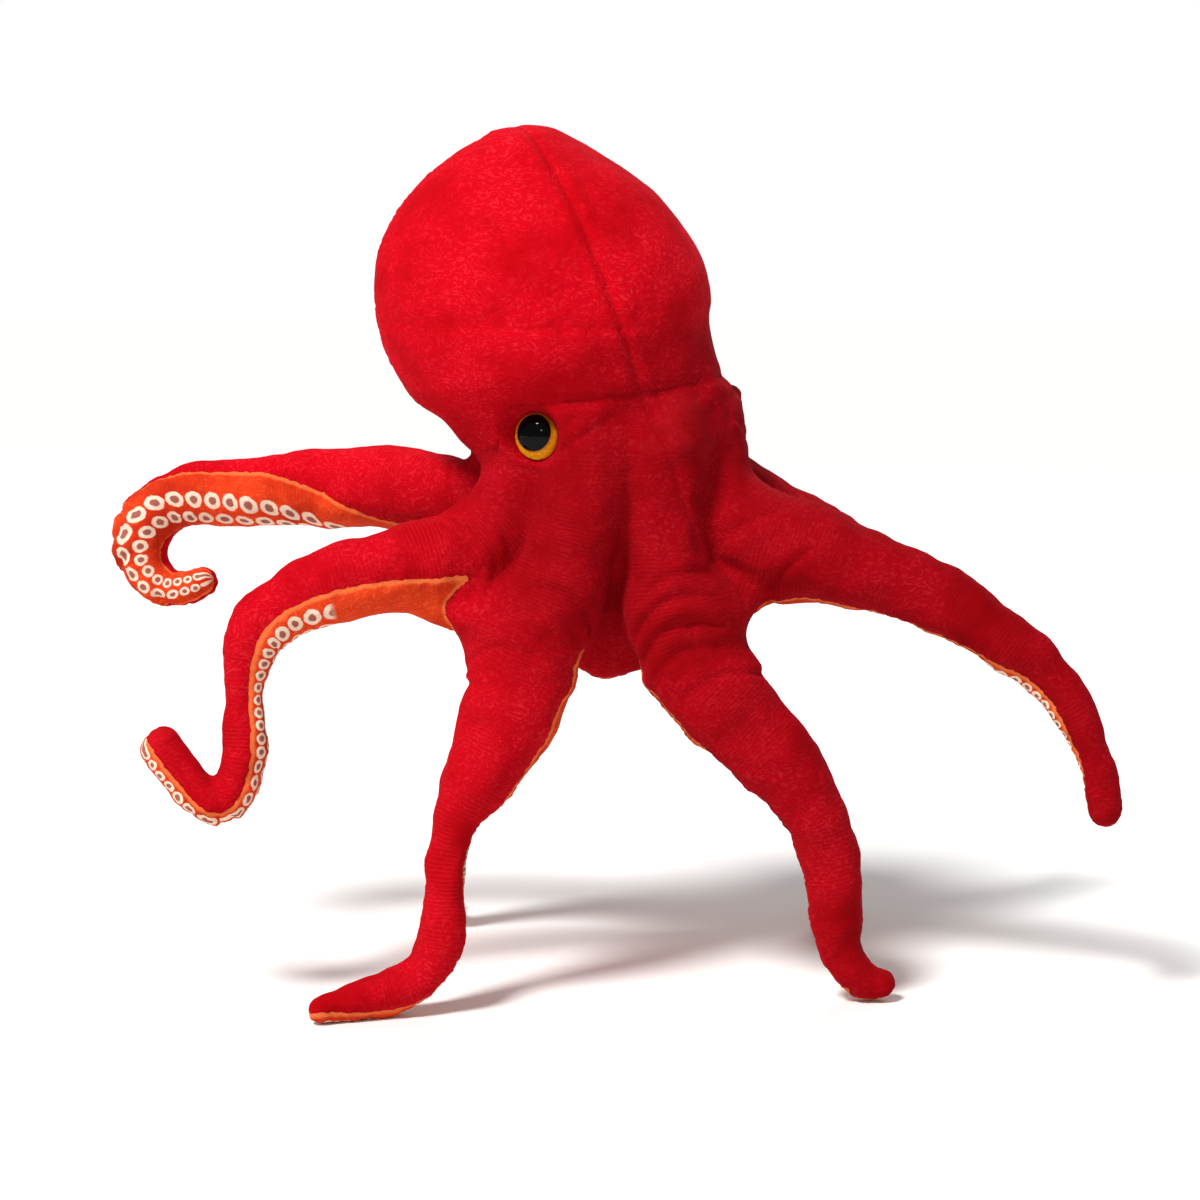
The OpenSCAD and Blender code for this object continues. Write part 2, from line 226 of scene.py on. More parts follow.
def rings_of(name, near, sides):
    """The rings of points that a swept node is made of, starting at its end near a point."""
    points, triangles = node_mesh(name)
    links = [set() for _ in points]
    for a, b, c in triangles:
        links[a] |= {b, c}
        links[b] |= {a, c}
        links[c] |= {a, b}
    ring = set(np.argsort(np.linalg.norm(points - near, axis=1))[:sides].tolist())
    seen, rings = set(), []
    while ring:
        rings.append(points[sorted(ring)])
        seen |= ring
        ring = {j for i in ring for j in links[i]} - seen
    return rings


def joint_place(name):
    joint = next(j for j in frame["record"]["behaviour"]["joints"] if j["name"] == name)
    return np.array(joint["pos_m"])


def mesh_middle(name):
    low, high = (np.array(corner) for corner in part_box(name))
    return (low + high) / 2


def smooth(t):
    t = np.clip(t, 0, 1)
    return t * t * (3 - 2 * t)


def between(value, start, end):
    """0 at start, 1 at end, eased."""
    return smooth((value - start) / (end - start))


def eased(rows, per_gap):
    """A smooth curve through rows, with per_gap samples between two of them."""
    last = len(rows) - 1
    t = np.linspace(0, last, last * per_gap + 1)
    i = np.minimum(t.astype(int), last - 1)
    f = (t - i)[:, None]
    a, b = rows[np.maximum(i - 1, 0)], rows[i]
    c, d = rows[i + 1], rows[np.minimum(i + 2, last)]
    return 0.5 * (2 * b + (c - a) * f + (2 * a - 5 * b + 4 * c - d) * f**2
                  + (3 * b - a - 3 * c + d) * f**3)


class Arm:
    """One arm's centreline, from the neck over the crown's ridge to the tip.

    Rows run along line, radius, up (middle of the red side), ahead and length from the hinge.
    """

    def __init__(self, number):
        self.number = number
        self.hinge = joint_place(f"arm_{number}_lift")
        self.curl = joint_place(f"arm_{number}_curl")
        rows = []
        for part, near in (("root", self.hinge), ("tip", self.curl)):
            fill = rings_of(f"arm_{number}_{part}_fill", near, ARM_SIDES)
            # the blunt cones at the bends and the rounded end aren't part of the line
            rows += self.read(fill[1:-1] if part == "root" else fill[1:-3], f"arm_{number}_{part}_top")
        rows = np.array(rows)
        start = rows[0].copy()
        start[:3] = self.hinge
        free = eased(np.vstack([start[None], rows]), SAMPLES)
        ahead = unit(free[1, :3] - free[0, :3])
        rows = np.vstack([self.ridge(ahead, start), free[1:]])
        self.line, self.radius, self.up = rows[:, :3], rows[:, 3], unit(rows[:, 4:7])
        self.ahead = unit(np.gradient(self.line, axis=0))
        self.first = len(rows) - len(free)
        gaps = np.linalg.norm(np.diff(self.line, axis=0), axis=1)
        self.length = np.concatenate([[0], np.cumsum(gaps)])
        self.length -= self.length[self.first]
        self.lead = self.ahead[self.first]
        at_curl = np.argmin(np.linalg.norm(self.line - self.curl, axis=1))
        self.bend = self.length[at_curl]
        self.curl_ahead = self.ahead[at_curl]
        middle = (self.radius[1:] + self.radius[:-1]) / 2
        self.girths = np.concatenate([[0], np.cumsum(np.diff(self.length) / middle)])
        self.read_bends()

    @staticmethod
    def read(rings, panel):
        skin, _ = node_mesh(panel)
        rows = []
        for ring in rings:
            c = ring.mean(axis=0)
            flat = np.linalg.svd(ring - c)[2][2]
            radius = np.linalg.norm(ring - c, axis=1).mean() + SKIN_GAP
            off = skin - c
            here = (abs(off @ flat) < RING_FLAT) & (np.linalg.norm(off, axis=1) < radius + RING_REACH)
            rows.append([*c, radius, *unit(off[here].mean(axis=0))])
        return rows

    def ridge(self, ahead, start):
        """The ridge that carries the arm up over the crown to the neck."""
        bearing = math.radians(RIDGE_BEARINGS[self.number - 1])
        out = np.array([math.cos(bearing), math.sin(bearing), 0])
        top = CROWN_AXIS + RIDGE_TOP_OUT * out
        top[2] = NECK[2] - RIDGE_TOP_DROP
        reach = RIDGE_LEAD * np.linalg.norm(self.hinge - top)
        a, d = top, self.hinge
        b, c = a - np.array([0, 0, reach]), d - ahead * reach
        t = np.linspace(0, 1, RIDGE_ROWS, endpoint=False)[:, None]
        line = a * (1 - t)**3 + 3 * b * t * (1 - t)**2 + 3 * c * t**2 * (1 - t) + d * t**3
        along = unit(np.gradient(line, axis=0))
        up = unit(out - along * (along @ out)[:, None])
        up = unit(up * (1 - t) + start[4:7] * t)
        radius = RIDGE_TOP_R + (start[3] - RIDGE_TOP_R) * t
        return np.hstack([line, radius, up])

    def read_bends(self):
        """How tightly the arm bends along its length, and which way round it bends in."""
        turning = np.gradient(self.ahead, axis=0)
        bent = np.linalg.norm(turning, axis=1) / np.maximum(np.gradient(self.length), MM)
        self.tight = between(bent * self.radius, *CREASE_TIGHT)
        self.tight[self.length < 0] = 0
        middle = self.length.searchsorted(self.bend)
        inward = turning[middle]
        across = np.cross(self.ahead[middle], self.up[middle])
        self.inside = math.atan2(-inward @ across, inward @ self.up[middle])


NECK = joint_place("mantle_tilt")
NECK_UP, NAP_SHADING_UP = unit(np.array(NECK_UP)), unit(np.array(NAP_SHADING_UP))
FAR_BELOW = np.array([0, 0, -100.0])
crown_rings = rings_of("crown_fill", FAR_BELOW, CROWN_SIDES)
mantle_rings = rings_of("mantle_fill", NECK, MANTLE_SIDES)
CROWN_AXIS = np.array([crown_rings[CROWN_RING][:, 0].mean(), crown_rings[CROWN_RING][:, 1].mean(), 0])
arms = [Arm(n) for n in ARMS]


# ---------------------------------------------------------------- forms of the distance field

def blend_min(a, b, k):
    """The lower of two distances, rounded where they meet."""
    h = np.clip(1 - np.abs(a - b) / k, 0, 1)
    return np.minimum(a, b) - h * h * k / 4


def nearest_on(line, points):
    """For each point: the nearest place on a polyline, as segment number and share along it."""
    best = np.full(len(points), np.inf)
    where = np.zeros(len(points), dtype=int)
    share = np.zeros(len(points))
    for i in range(len(line) - 1):
        a, ab = line[i], line[i + 1] - line[i]
        off = points - a
        t = np.clip(off @ ab / (ab @ ab), 0, 1)
        gap = off - t[:, None] * ab
        dist = np.einsum("ij,ij->i", gap, gap)
        closer = dist < best
        best[closer] = dist[closer]
        where[closer] = i
        share[closer] = t[closer]
    return np.sqrt(best), where, share


def along(values, where, share):
    if values.ndim > 1:
        share = share[:, None]
    return values[where] * (1 - share) + values[where + 1] * share


def capsule_distance(points, a, b, ra, rb):
    ab = b - a
    t = np.clip((points - a) @ ab / (ab @ ab), 0, 1)
    gap = points - a - t[..., None] * ab
    return np.sqrt(np.einsum("...i,...i->...", gap, gap)) - (ra + (rb - ra) * t)


def profile_distance(rho, height, profile):
    """Signed distance to an outline of (radius, height) points that ends on the axis."""
    best = np.full(len(rho), np.inf)
    side = np.ones(len(rho))
    for (r0, h0), (r1, h1) in zip(profile[:-1], profile[1:]):
        dr, dh = r1 - r0, h1 - h0
        t = np.clip(((rho - r0) * dr + (height - h0) * dh) / (dr * dr + dh * dh), 0, 1)
        x, y = rho - r0 - t * dr, height - h0 - t * dh
        dist = np.hypot(x, y)
        closer = dist < best - 1e-9
        best[closer] = dist[closer]
        side[closer] = np.sign((rho - r0) * dh - (height - h0) * dr)[closer]
    return best * side


class Mantle:
    """The bulb as a stack of ovals on a leaning axis."""

    def __init__(self):
        middle = mantle_rings[MANTLE_RING]
        self.axis = np.linalg.svd(middle - middle.mean(axis=0))[2][2]
        self.axis *= np.sign(self.axis[2])
        self.right = unit(np.cross(np.array([0, 1.0, 0]), self.axis))
        spans = [self.spans(ring) for ring in mantle_rings]
        rows = [(r * MM, h * MM, o * MM) for h, o, r in NECK_ROWS]
        rows += [(r + SKIN_GAP, h, o) for r, h, o, _ in spans[1:]]
        rows = [(r, h + MANTLE_SUNK * between(h, MANTLE_SINK_FROM, MANTLE_TOP), o) for r, h, o in rows]
        rows.append((0.0, MANTLE_TOP, rows[-1][2]))
        self.depth = spans[MANTLE_RING][3] / spans[MANTLE_RING][0]
        self.rows = eased(np.array(rows), MANTLE_SAMPLES)
        self.rows[:, 0] = np.maximum(self.rows[:, 0], 0)

    def spans(self, ring):
        """A ring's half width, height, shift and half depth."""
        off = ring - NECK
        across, height = off @ self.right, (off @ self.axis).mean()
        return np.ptp(across) / 2, height, (across.max() + across.min()) / 2, np.ptp(off[:, 1]) / 2

    def distance(self, points):
        off = points - NECK
        height = off @ self.axis
        across = off @ self.right - np.interp(height, self.rows[:, 1], self.rows[:, 2])
        return profile_distance(np.hypot(across, off[:, 1] / self.depth), height, self.rows[:, :2])


class Crown:
    """The head under the neck, from the CAD crown's radius by bearing and height."""

    def __init__(self):
        rings = [ring - CROWN_AXIS for ring in crown_rings[1:-1]]
        off = np.array([ring[np.argsort(np.arctan2(ring[:, 1], ring[:, 0]))] for ring in rings])
        self.low, self.high = off[..., 2].min(), off[..., 2].max()
        self.heights = np.linspace(self.low, self.high, CORE_LEVELS)
        radius = np.hypot(off[..., 0], off[..., 1]) + SKIN_GAP
        bearings = range(CROWN_SIDES)
        self.table = np.array([np.interp(self.heights, off[:, i, 2], radius[:, i]) for i in bearings])
        self.first_angle = np.arctan2(off[:, 0, 1], off[:, 0, 0]).mean()

    def radius_at(self, off):
        """The crown's radius on the bearing and at the height of each point."""
        turn = (np.arctan2(off[:, 1], off[:, 0]) - self.first_angle) / (2 * np.pi) * CROWN_SIDES
        turn = np.mod(turn, CROWN_SIDES)
        i = turn.astype(int) % CROWN_SIDES
        f = turn - turn.astype(int)
        level = (off[:, 2] - self.heights[0]) / (self.heights[1] - self.heights[0])
        level = np.clip(level, 0, CORE_LEVELS - 1.001)
        j = level.astype(int)
        g = level - j
        k = (i + 1) % CROWN_SIDES
        low = self.table[i, j] * (1 - f) + self.table[k, j] * f
        high = self.table[i, j + 1] * (1 - f) + self.table[k, j + 1] * f
        return low * (1 - g) + high * g

    def distance(self, points):
        off = points - CROWN_AXIS
        side = np.hypot(off[:, 0], off[:, 1]) - self.radius_at(off) + CORE_INSET
        ends = np.maximum(self.low - off[:, 2], off[:, 2] - self.high)
        return -blend_min(-CORE_SLOPE * side, -ends, CORE_EDGE)


class Eye:
    """An eye's place: its seat, the way it faces, and its own across and up."""

    def __init__(self, side):
        self.side = side
        points, _ = node_mesh(f"eye_{side}")
        ring, _ = node_mesh(f"washer_{side}")
        washer = mesh_middle(f"washer_{side}")
        self.out = np.linalg.svd(ring - ring.mean(axis=0))[2][2]
        self.out *= np.sign((mesh_middle(f"eye_{side}") - washer) @ self.out)
        reach = (points - washer) @ self.out
        self.radius = np.linalg.norm(points - washer - reach[:, None] * self.out, axis=1).max()
        self.seat = washer + (reach.max() - EYE_DOME) * self.out
        self.across = unit(np.cross(np.array([0, 0, 1.0]), self.out))
        self.up = np.cross(self.out, self.across)
        self.inner = -np.sign(self.across[1])       # the way to the middle of the face

    def front(self, across, up, out):
        return self.seat + across * self.across + up * self.up + out * self.out

    def lids(self):
        """The stuffed lid and brow, as short fat strokes: from, to, radius at each end."""
        reach = LID_REACH * self.radius
        turns = np.radians(LID_TURNS)
        spots = [self.front(reach * math.cos(t), reach * math.sin(t), LID_OUT) for t in turns]
        strokes = [(a, b, LID_R, LID_R) for a, b in zip(spots[:-1], spots[1:])]
        radius, *ends = BROWS[self.side]
        inner = self.inner * (self.radius + BROW_IN)
        top, foot = (self.front(share * inner, up, out) for share, up, out in ends)
        return strokes + [(top, foot, radius, BROW_TAPER * radius)]


mantle = Mantle()
crown = Crown()
eyes = [Eye("left"), Eye("right")]


class Field:
    """Distances on a grid of points, read back by linear interpolation."""

    def __init__(self, low, high, step):
        self.low, self.step = np.array(low), step
        self.shape = np.ceil((np.array(high) - self.low) / step).astype(int) + 1
        self.values = np.full(self.shape, FIELD_FAR, dtype=np.float32)

    def block(self, low, high):
        """The part of the grid in a box: its slices and its points."""
        a = np.clip(np.floor((low - self.low) / self.step).astype(int), 0, self.shape - 1)
        b = np.clip(np.ceil((high - self.low) / self.step).astype(int) + 1, a + 1, self.shape)
        axes = [self.low[i] + self.step * np.arange(a[i], b[i]) for i in range(3)]
        points = np.stack(np.meshgrid(*axes, indexing="ij"), axis=-1)
        return tuple(slice(i, j) for i, j in zip(a, b)), points

    def part(self, low, high, distance, softness):
        """Blends one form in, within its own box."""
        place, points = self.block(low, high)
        box = self.values[place]
        new = distance(points.reshape(-1, 3)).reshape(box.shape)
        box[...] = blend_min(box, new, softness)

    def tube(self, line, radius, softness):
        """Blends in a round tube along a line, one short length at a time."""
        own = np.full(self.shape, FIELD_FAR, dtype=np.float32)
        for a, b, ra, rb in zip(line[:-1], line[1:], radius[:-1], radius[1:]):
            fat = max(ra, rb) + WEB_REACH
            place, points = self.block(np.minimum(a, b) - fat, np.maximum(a, b) + fat)
            own[place] = np.minimum(own[place], capsule_distance(points, a, b, ra, rb))
        fat = radius.max() + WEB_REACH
        place, points = self.block(line.min(axis=0) - fat, line.max(axis=0) + fat)
        self.values[place] = blend_min(self.values[place], own[place], softness(points))

    def read(self, points):
        spot = np.clip((points - self.low) / self.step, 0, self.shape - 1.001)
        i = spot.astype(int)
        f = spot - i
        total = np.zeros(len(points))
        for corner in CORNERS:
            weight = np.where(corner, f, 1 - f).prod(axis=1)
            total += weight * self.values[tuple((i + corner).T)]
        return total

    def slope(self, points):
        shifts = np.eye(3) * self.step
        ways = [self.read(points + s) - self.read(points - s) for s in shifts]
        return np.stack(ways, axis=1) / (2 * self.step)


def web_softness(number):
    """The softness between one arm and the arms before it, by place."""
    full, start, end = WEBS.get(number, (RIDGE_K, 1.0, 0.0))
    return lambda points: RIDGE_K + (full - RIDGE_K) * between(points[..., 2], start, end)


def fill_field(step):
    low, high = (np.array(corner) for corner in cad_box)
    field = Field(low - MARGIN, high + MARGIN, step)
    for arm in arms:
        field.tube(arm.line, arm.radius, web_softness(arm.number))
    crown_low, crown_high = (np.array(corner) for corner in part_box("crown_fill"))
    field.part(crown_low - WEB_REACH, crown_high + WEB_REACH, crown.distance, CORE_K)
    mantle_low, mantle_high = (np.array(corner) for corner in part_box("mantle_fill"))
    mantle_low[2] -= NECK_REACH
    field.part(mantle_low - WEB_REACH, mantle_high + WEB_REACH, mantle.distance, NECK_K)
    strokes = [(*stroke, LID_K) for eye in eyes for stroke in eye.lids()]
    for a, b, ra, rb, softness in strokes + [(*GUSSET, GUSSET_K)]:
        field.part(np.minimum(a, b) - STROKE_REACH, np.maximum(a, b) + STROKE_REACH,
                   lambda points: capsule_distance(points, a, b, ra, rb), softness)
    return field


# ---------------------------------------------------------------- surface from the field

def surface(field):
    """Points and quads of the zero level: one point in each grid cell that it crosses."""
    inside = field.values < 0
    cells = np.array(field.shape) - 1
    count = np.zeros(cells, dtype=np.int8)
    for x, y, z in CORNERS:
        count += inside[x:x + cells[0], y:y + cells[1], z:z + cells[2]]
    active = (count > 0) & (count < len(CORNERS))
    spots = np.argwhere(active)
    number = np.full(cells, -1)
    number[active] = np.arange(len(spots))
    total, hits = np.zeros((len(spots), 3)), np.zeros(len(spots))
    for a in CORNERS:
        for axis in range(3):
            if a[axis]:
                continue
            b = list(a)
            b[axis] = 1
            va = field.values[tuple((spots + a).T)].astype(float)
            vb = field.values[tuple((spots + b).T)].astype(float)
            crossed = (va < 0) != (vb < 0)
            t = np.where(crossed, va / np.where(crossed, va - vb, 1), 0)
            place = np.array(a, dtype=float) + np.zeros((len(spots), 3))
            place[:, axis] += t
            total += place * crossed[:, None]
            hits += crossed
    points = field.low + field.step * (spots + total / hits[:, None])
    return points, np.vstack([crossed_quads(inside, number, axis) for axis in range(3)])


def crossed_quads(inside, number, axis):
    """A quad for each grid edge along one axis that the surface crosses, facing out."""
    here = [slice(1, -1)] * 3
    here[axis] = slice(0, -1)
    ahead = list(here)
    ahead[axis] = slice(1, None)
    a, b = inside[tuple(here)], inside[tuple(ahead)]
    u, v = (axis + 1) % 3, (axis + 2) % 3
    edges = np.argwhere(a != b)
    leaving = a[tuple(edges.T)]
    edges[:, u] += 1
    edges[:, v] += 1
    ring = []
    for du, dv in ((-1, -1), (0, -1), (0, 0), (-1, 0)):
        cell = edges.copy()
        cell[:, u] += du
        cell[:, v] += dv
        ring.append(number[tuple(cell.T)])
    quads = np.stack(ring, axis=1)
    quads[~leaving] = quads[~leaving][:, ::-1]
    return quads


def neighbours(count, faces):
    """Edge list in both directions, for averaging over neighbours."""
    n = faces.shape[1]
    a = np.concatenate([faces[:, i] for i in range(n)])
    b = np.concatenate([faces[:, (i + 1) % n] for i in range(n)])
    pairs = np.unique(np.sort(np.stack([a, b], axis=1), axis=1), axis=0)
    both = np.vstack([pairs, pairs[:, ::-1]])
    return both, np.bincount(both[:, 0], minlength=count)


def averaged(values, links, degree):
    start, end = links.T
    total = [np.bincount(start, weights=column[end], minlength=len(values)) for column in values.T]
    return np.stack(total, axis=1) / degree[:, None]


def relax(points, faces, field):
    """Evens out the mesh and puts its points back on the surface."""
    links, degree = neighbours(len(points), faces)
    for _ in range(RELAX_ROUNDS):
        points = (1 - RELAX_SHARE) * points + RELAX_SHARE * averaged(points, links, degree)
        slope = field.slope(points)
        size = np.maximum((slope * slope).sum(axis=1), RELAX_FLATTEST)
        points = points - slope * (np.clip(field.read(points), -field.step, field.step) / size)[:, None]
    return points


def two_halves(points, quads):
    """Quads as triangles, cut along their shorter diagonal."""
    p = points[quads]
    short = np.linalg.norm(p[:, 0] - p[:, 2], axis=1) <= np.linalg.norm(p[:, 1] - p[:, 3], axis=1)
    a = np.where(short[:, None], quads[:, [0, 1, 2]], quads[:, [0, 1, 3]])
    b = np.where(short[:, None], quads[:, [0, 2, 3]], quads[:, [1, 2, 3]])
    return np.vstack([a, b])


field = fill_field(STEP)
points, quads = surface(field)
points = relax(points, quads, field)
triangles = two_halves(points, quads)


# ---------------------------------------------------------------- reading the skin

SIDE, MANTLE, MANTLE_MID, ARM_REGION, MID_START, MID_END = range(6)
FACE_SIDE = unit(math.cos(FACE_TURN) * mantle.right + math.sin(FACE_TURN) * np.array([0, 1.0, 0]))


class Reading:
    """For every point: its nearest arm, how far along that arm it is, and where round it."""

    def __init__(self, points, normals):
        count = len(points)
        self.gap = np.full((count, len(arms)), FAR)
        length, girths, turn, radii = (np.zeros((count, len(arms))) for _ in range(4))
        ups = np.zeros((count, len(arms), 3))
        for i, arm in enumerate(arms):
            low, high = arm.line.min(axis=0) - FAR, arm.line.max(axis=0) + FAR
            here = np.flatnonzero(((points > low) & (points < high)).all(axis=1))
            dist, where, share = nearest_on(arm.line, points[here])
            radius = along(arm.radius, where, share)
            off = points[here] - along(arm.line, where, share)
            up, ahead = along(arm.up, where, share), along(arm.ahead, where, share)
            high = (off * up).sum(axis=1)
            across = (off * np.cross(ahead, up)).sum(axis=1)
            self.gap[here, i] = dist - radius
            radii[here, i] = radius
            ups[here, i] = up
            length[here, i] = along(arm.length, where, share)
            girths[here, i] = along(arm.girths, where, share)
            turn[here, i] = np.arctan2(across, -high) + PRINT_TURNS[i]
        rows = np.arange(count)
        order = np.argsort(self.gap, axis=1)
        self.arm, second = order[:, 0], order[:, 1]
        self.near = self.gap[rows, self.arm]
        self.apart = self.gap[rows, second] - self.near
        self.length = length[rows, self.arm]
        self.girth = girths[rows, self.arm]
        self.turn = turn[rows, self.arm]
        weight = np.exp(-(self.gap - self.near[:, None]) / SIDE_BLUR)
        weight /= weight.sum(axis=1)[:, None]
        up = unit((weight[:, :, None] * ups).sum(axis=1))
        drop = (weight * SEAM_DROPS).sum(axis=1)
        side = (weight * radii).sum(axis=1) * ((normals * up).sum(axis=1) + drop)
        reach = np.hypot(points[:, 0] - CROWN_AXIS[0], points[:, 1] - CROWN_AXIS[1])
        self.side = np.maximum(side, np.minimum(points[:, 2] - RED_OVER, RED_WITHIN - reach))
        # painted light and shade by panel, with the nap: the crown's tone blends into each arm's along its
        # length, then into the mantle's upwards and to the left
        nap_shadings = CROWN_NAP_SHADING + (ARM_NAP_SHADINGS - CROWN_NAP_SHADING) * between(length, *NAP_SHADING_TURNS)
        self.nap_shading = (weight * nap_shadings).sum(axis=1)
        self.nap_shading += (MANTLE_NAP_SHADING - self.nap_shading) * between((points - NECK) @ NAP_SHADING_UP, *NAP_SHADING_RISES)
        self.read_mantle(points)
        self.read_bends(points)

    def read_mantle(self, points):
        self.mantle_gap = mantle.distance(points)
        over_neck = (points - NECK) @ NECK_UP - MANTLE_START
        over_neck += SEAM_DIP * between(NECK[0] - points[:, 0], *DIP_REACH)
        self.mantle = np.minimum(over_neck, self.near - self.mantle_gap)
        self.neck_gap = abs(over_neck)
        self.at_neck = self.near - self.mantle_gap > NECK_NEAR
        self.mantle_mid = (points - NECK - FACE_SHIFT * mantle.right) @ FACE_SIDE

    def read_bends(self, points):
        hinges, leads, curls, turns, bends = (
            np.array([getattr(arm, key) for arm in arms])[self.arm]
            for key in ("hinge", "lead", "curl", "curl_ahead", "bend"))
        self.past_hinge = ((points - hinges) * leads).sum(axis=1)
        past = ((points - curls) * turns).sum(axis=1)
        on = self.length - bends
        self.past_curl = np.where(abs(on) < NEAR_CURL, past, on)

    def borders(self):
        """One column for each border between panels; it runs where the column is zero."""
        mid = np.where(self.mantle > -BORDER_NEAR, self.mantle_mid, 1.0)
        region = np.minimum(self.past_hinge - LIFT_START, self.apart - STEP)
        on_arm = region > -BORDER_NEAR
        start, end = (np.where(on_arm, self.past_curl + way * (BEND_HALF + LAP), -1.0) for way in (1, -1))
        return np.stack([self.side, self.mantle, mid, region, start, end], axis=1)


def cut(points, triangles, values, column):
    """Splits the triangles that the zero line of one column crosses."""
    count = len(points)
    value = values[:, column].copy()
    value[abs(value) < SNAP] = 0
    values[:, column] = value
    sign = np.sign(value).astype(int)
    corner = sign[triangles]
    crossed = (corner.min(axis=1) < 0) & (corner.max(axis=1) > 0)
    work, corner = triangles[crossed], corner[crossed]
    edges = np.sort(np.concatenate([work[:, [0, 1]], work[:, [1, 2]], work[:, [2, 0]]]), axis=1)
    edges = np.unique(edges[sign[edges[:, 0]] * sign[edges[:, 1]] < 0], axis=0)
    a, b = edges.T
    t = (value[a] / (value[a] - value[b]))[:, None]
    keys = a * count + b

    def middle(i, j):
        return count + np.searchsorted(keys, np.minimum(i, j) * count + np.maximum(i, j))

    # each triangle is turned so that its odd corner comes first
    has_zero = (corner == 0).any(axis=1)
    odd = np.where(has_zero, np.argmax(corner == 0, axis=1),
                   np.argmax(corner == -np.sign(corner.sum(axis=1))[:, None], axis=1))
    rows = np.arange(len(work))
    p, q, r = (work[rows, (odd + i) % 3] for i in range(3))
    z = has_zero
    qr = middle(q[z], r[z])
    new = [np.stack([p[z], q[z], qr], axis=1), np.stack([p[z], qr, r[z]], axis=1)]
    z = ~has_zero
    pq, pr = middle(p[z], q[z]), middle(p[z], r[z])
    new += [np.stack([p[z], pq, pr], axis=1), np.stack([pq, q[z], r[z]], axis=1),
            np.stack([pq, r[z], pr], axis=1)]
    points = np.vstack([points, points[a] * (1 - t) + points[b] * t])
    added = values[a] * (1 - t) + values[b] * t
    added[:, column] = 0
    return points, np.vstack([triangles[~crossed], *new]), np.vstack([values, added])


def cut_all(points, triangles, columns):
    """The skin cut along its borders, with each triangle's side of each and each point's distance."""
    normals = evened(normals_of(points, triangles), triangles)
    values = Reading(points, normals).borders()
    for column in columns:
        points, triangles, values = cut(points, triangles, values, column)
    on_side = values[triangles].sum(axis=1) >= 0
    return points, triangles, on_side, values


def evened(vectors, triangles):
    links, degree = neighbours(len(vectors), triangles)
    for _ in range(EVEN_ROUNDS):
        vectors = unit(0.5 * vectors + 0.5 * averaged(vectors, links, degree))
    return vectors


def normals_of(points, triangles):
    a, b, c = (points[triangles[:, i]] for i in range(3))
    flat = np.cross(b - a, c - a)
    total = np.zeros_like(points)
    for i in range(3):
        for axis in range(3):
            total[:, axis] += np.bincount(triangles[:, i], weights=flat[:, axis], minlength=len(points))
    return unit(total)


# ---------------------------------------------------------------- seams, folds and stuffing

class Noise:
    """Smooth, repeatable noise between about -1 and 1, with a given wavelength."""

    WAVES = 16
    PACES = (0.7, 1.4)

    def __init__(self, wavelength, seed):
        random = np.random.RandomState(seed)
        pace = random.uniform(*self.PACES, (self.WAVES, 1)) * 2 * np.pi / wavelength
        self.waves = unit(random.normal(size=(self.WAVES, 3))) * pace
        self.phase = random.uniform(0, 2 * np.pi, self.WAVES)

    def __call__(self, points):
        return np.sin(points @ self.waves.T + self.phase).sum(axis=1) / math.sqrt(self.WAVES)


# folds across the arms: arm, length from its hinge, towards (x, y, z), slant, depth, width
FOLDS = [
    (4, -62, (0.1, -1, 0.1), 0.32, 1.4, 2.6),
    (4, -50, (0, -1, 0), 0.26, 2.2, 3.0),
    (4, -36, (-0.1, -1, 0), 0.18, 2.4, 3.0),
    (4, -22, (-0.2, -1, 0), 0.12, 1.2, 2.8),
    (4, 0, (0.6, -1, 0), -0.45, 1.6, 3.0),
    (3, -52, (0.3, -1, 0), -0.28, 1.8, 3.0),
    (3, -40, (0.1, -1, 0), -0.10, 0.9, 2.6),
    (3, -14, (-0.7, -1, 0), 0.40, 1.0, 3.0),
    (2, -30, (0, -1, 0.2), 0.05, 1.0, 2.6),
    (2, -20, (0, -1, 0.2), 0.12, 1.1, 2.6),
    (2, -10, (0, -1, 0.2), 0.20, 0.8, 2.4),
    (5, -22, (0, -1, -0.2), -0.35, 1.6, 3.2),
    (5, 2, (0, -1, -0.8), -0.40, 1.4, 2.6),
    (1, -6, (0, -1, 0.4), 0.20, 1.2, 3.0),
    (6, -6, (0, 1, 0.3), 0.25, 1.6, 3.2),
    (6, -26, (0, 1, 0.1), 0.25, 1.4, 3.0),
    (7, -50, (-0.2, 1, 0), 0.30, 1.8, 3.0),
    (7, -32, (0.1, 1, 0), 0.25, 2.0, 3.2),
    (7, -12, (0.5, 1, 0), -0.30, 1.2, 3.0),
    (8, -46, (0.2, 1, 0), -0.30, 2.0, 3.2),
    (8, -28, (-0.1, 1, 0), -0.25, 1.8, 3.0),
    (8, -8, (-0.5, 1, 0), 0.30, 1.2, 3.0),
]
# creases in the face, on the plane of each eye and in its radii: from, to, depth and width in mm
FACE_CREASES = [
    ((1.15, -0.75), (3.4, 0.75), 1.5, 2.6),
    ((0.9, 1.70), (3.2, 1.45), 1.2, 2.4),
    ((-0.6, -1.6), (1.4, -1.45), 0.8, 2.4),
    ((1.5, 0.2), (2.2, 1.0), 0.8, 2.2),
]
LUMP_NOISES = [(Noise(wave * MM, seed), height * MM) for wave, seed, height in LUMPS]


def groove(distance, width):
    return np.exp(-(distance / width)**2)


def face_creases(points):
    depth = np.zeros(len(points))
    for eye in eyes:
        off = points - eye.seat
        level = between(abs(off @ eye.out), FACE_DEPTH, 0.5 * FACE_DEPTH)
        flat = np.stack([off @ eye.across * eye.inner, off @ eye.up], axis=1) / eye.radius
        for start, end, deep, wide in FACE_CREASES:
            gap, _, share = nearest_on(np.array([start, end]), flat)
            taper = CREASE_END + (1 - CREASE_END) * np.sin(np.pi * np.clip(share, 0, 1))
            depth += deep * MM * level * taper * groove(gap * eye.radius, wide * MM)
    return depth


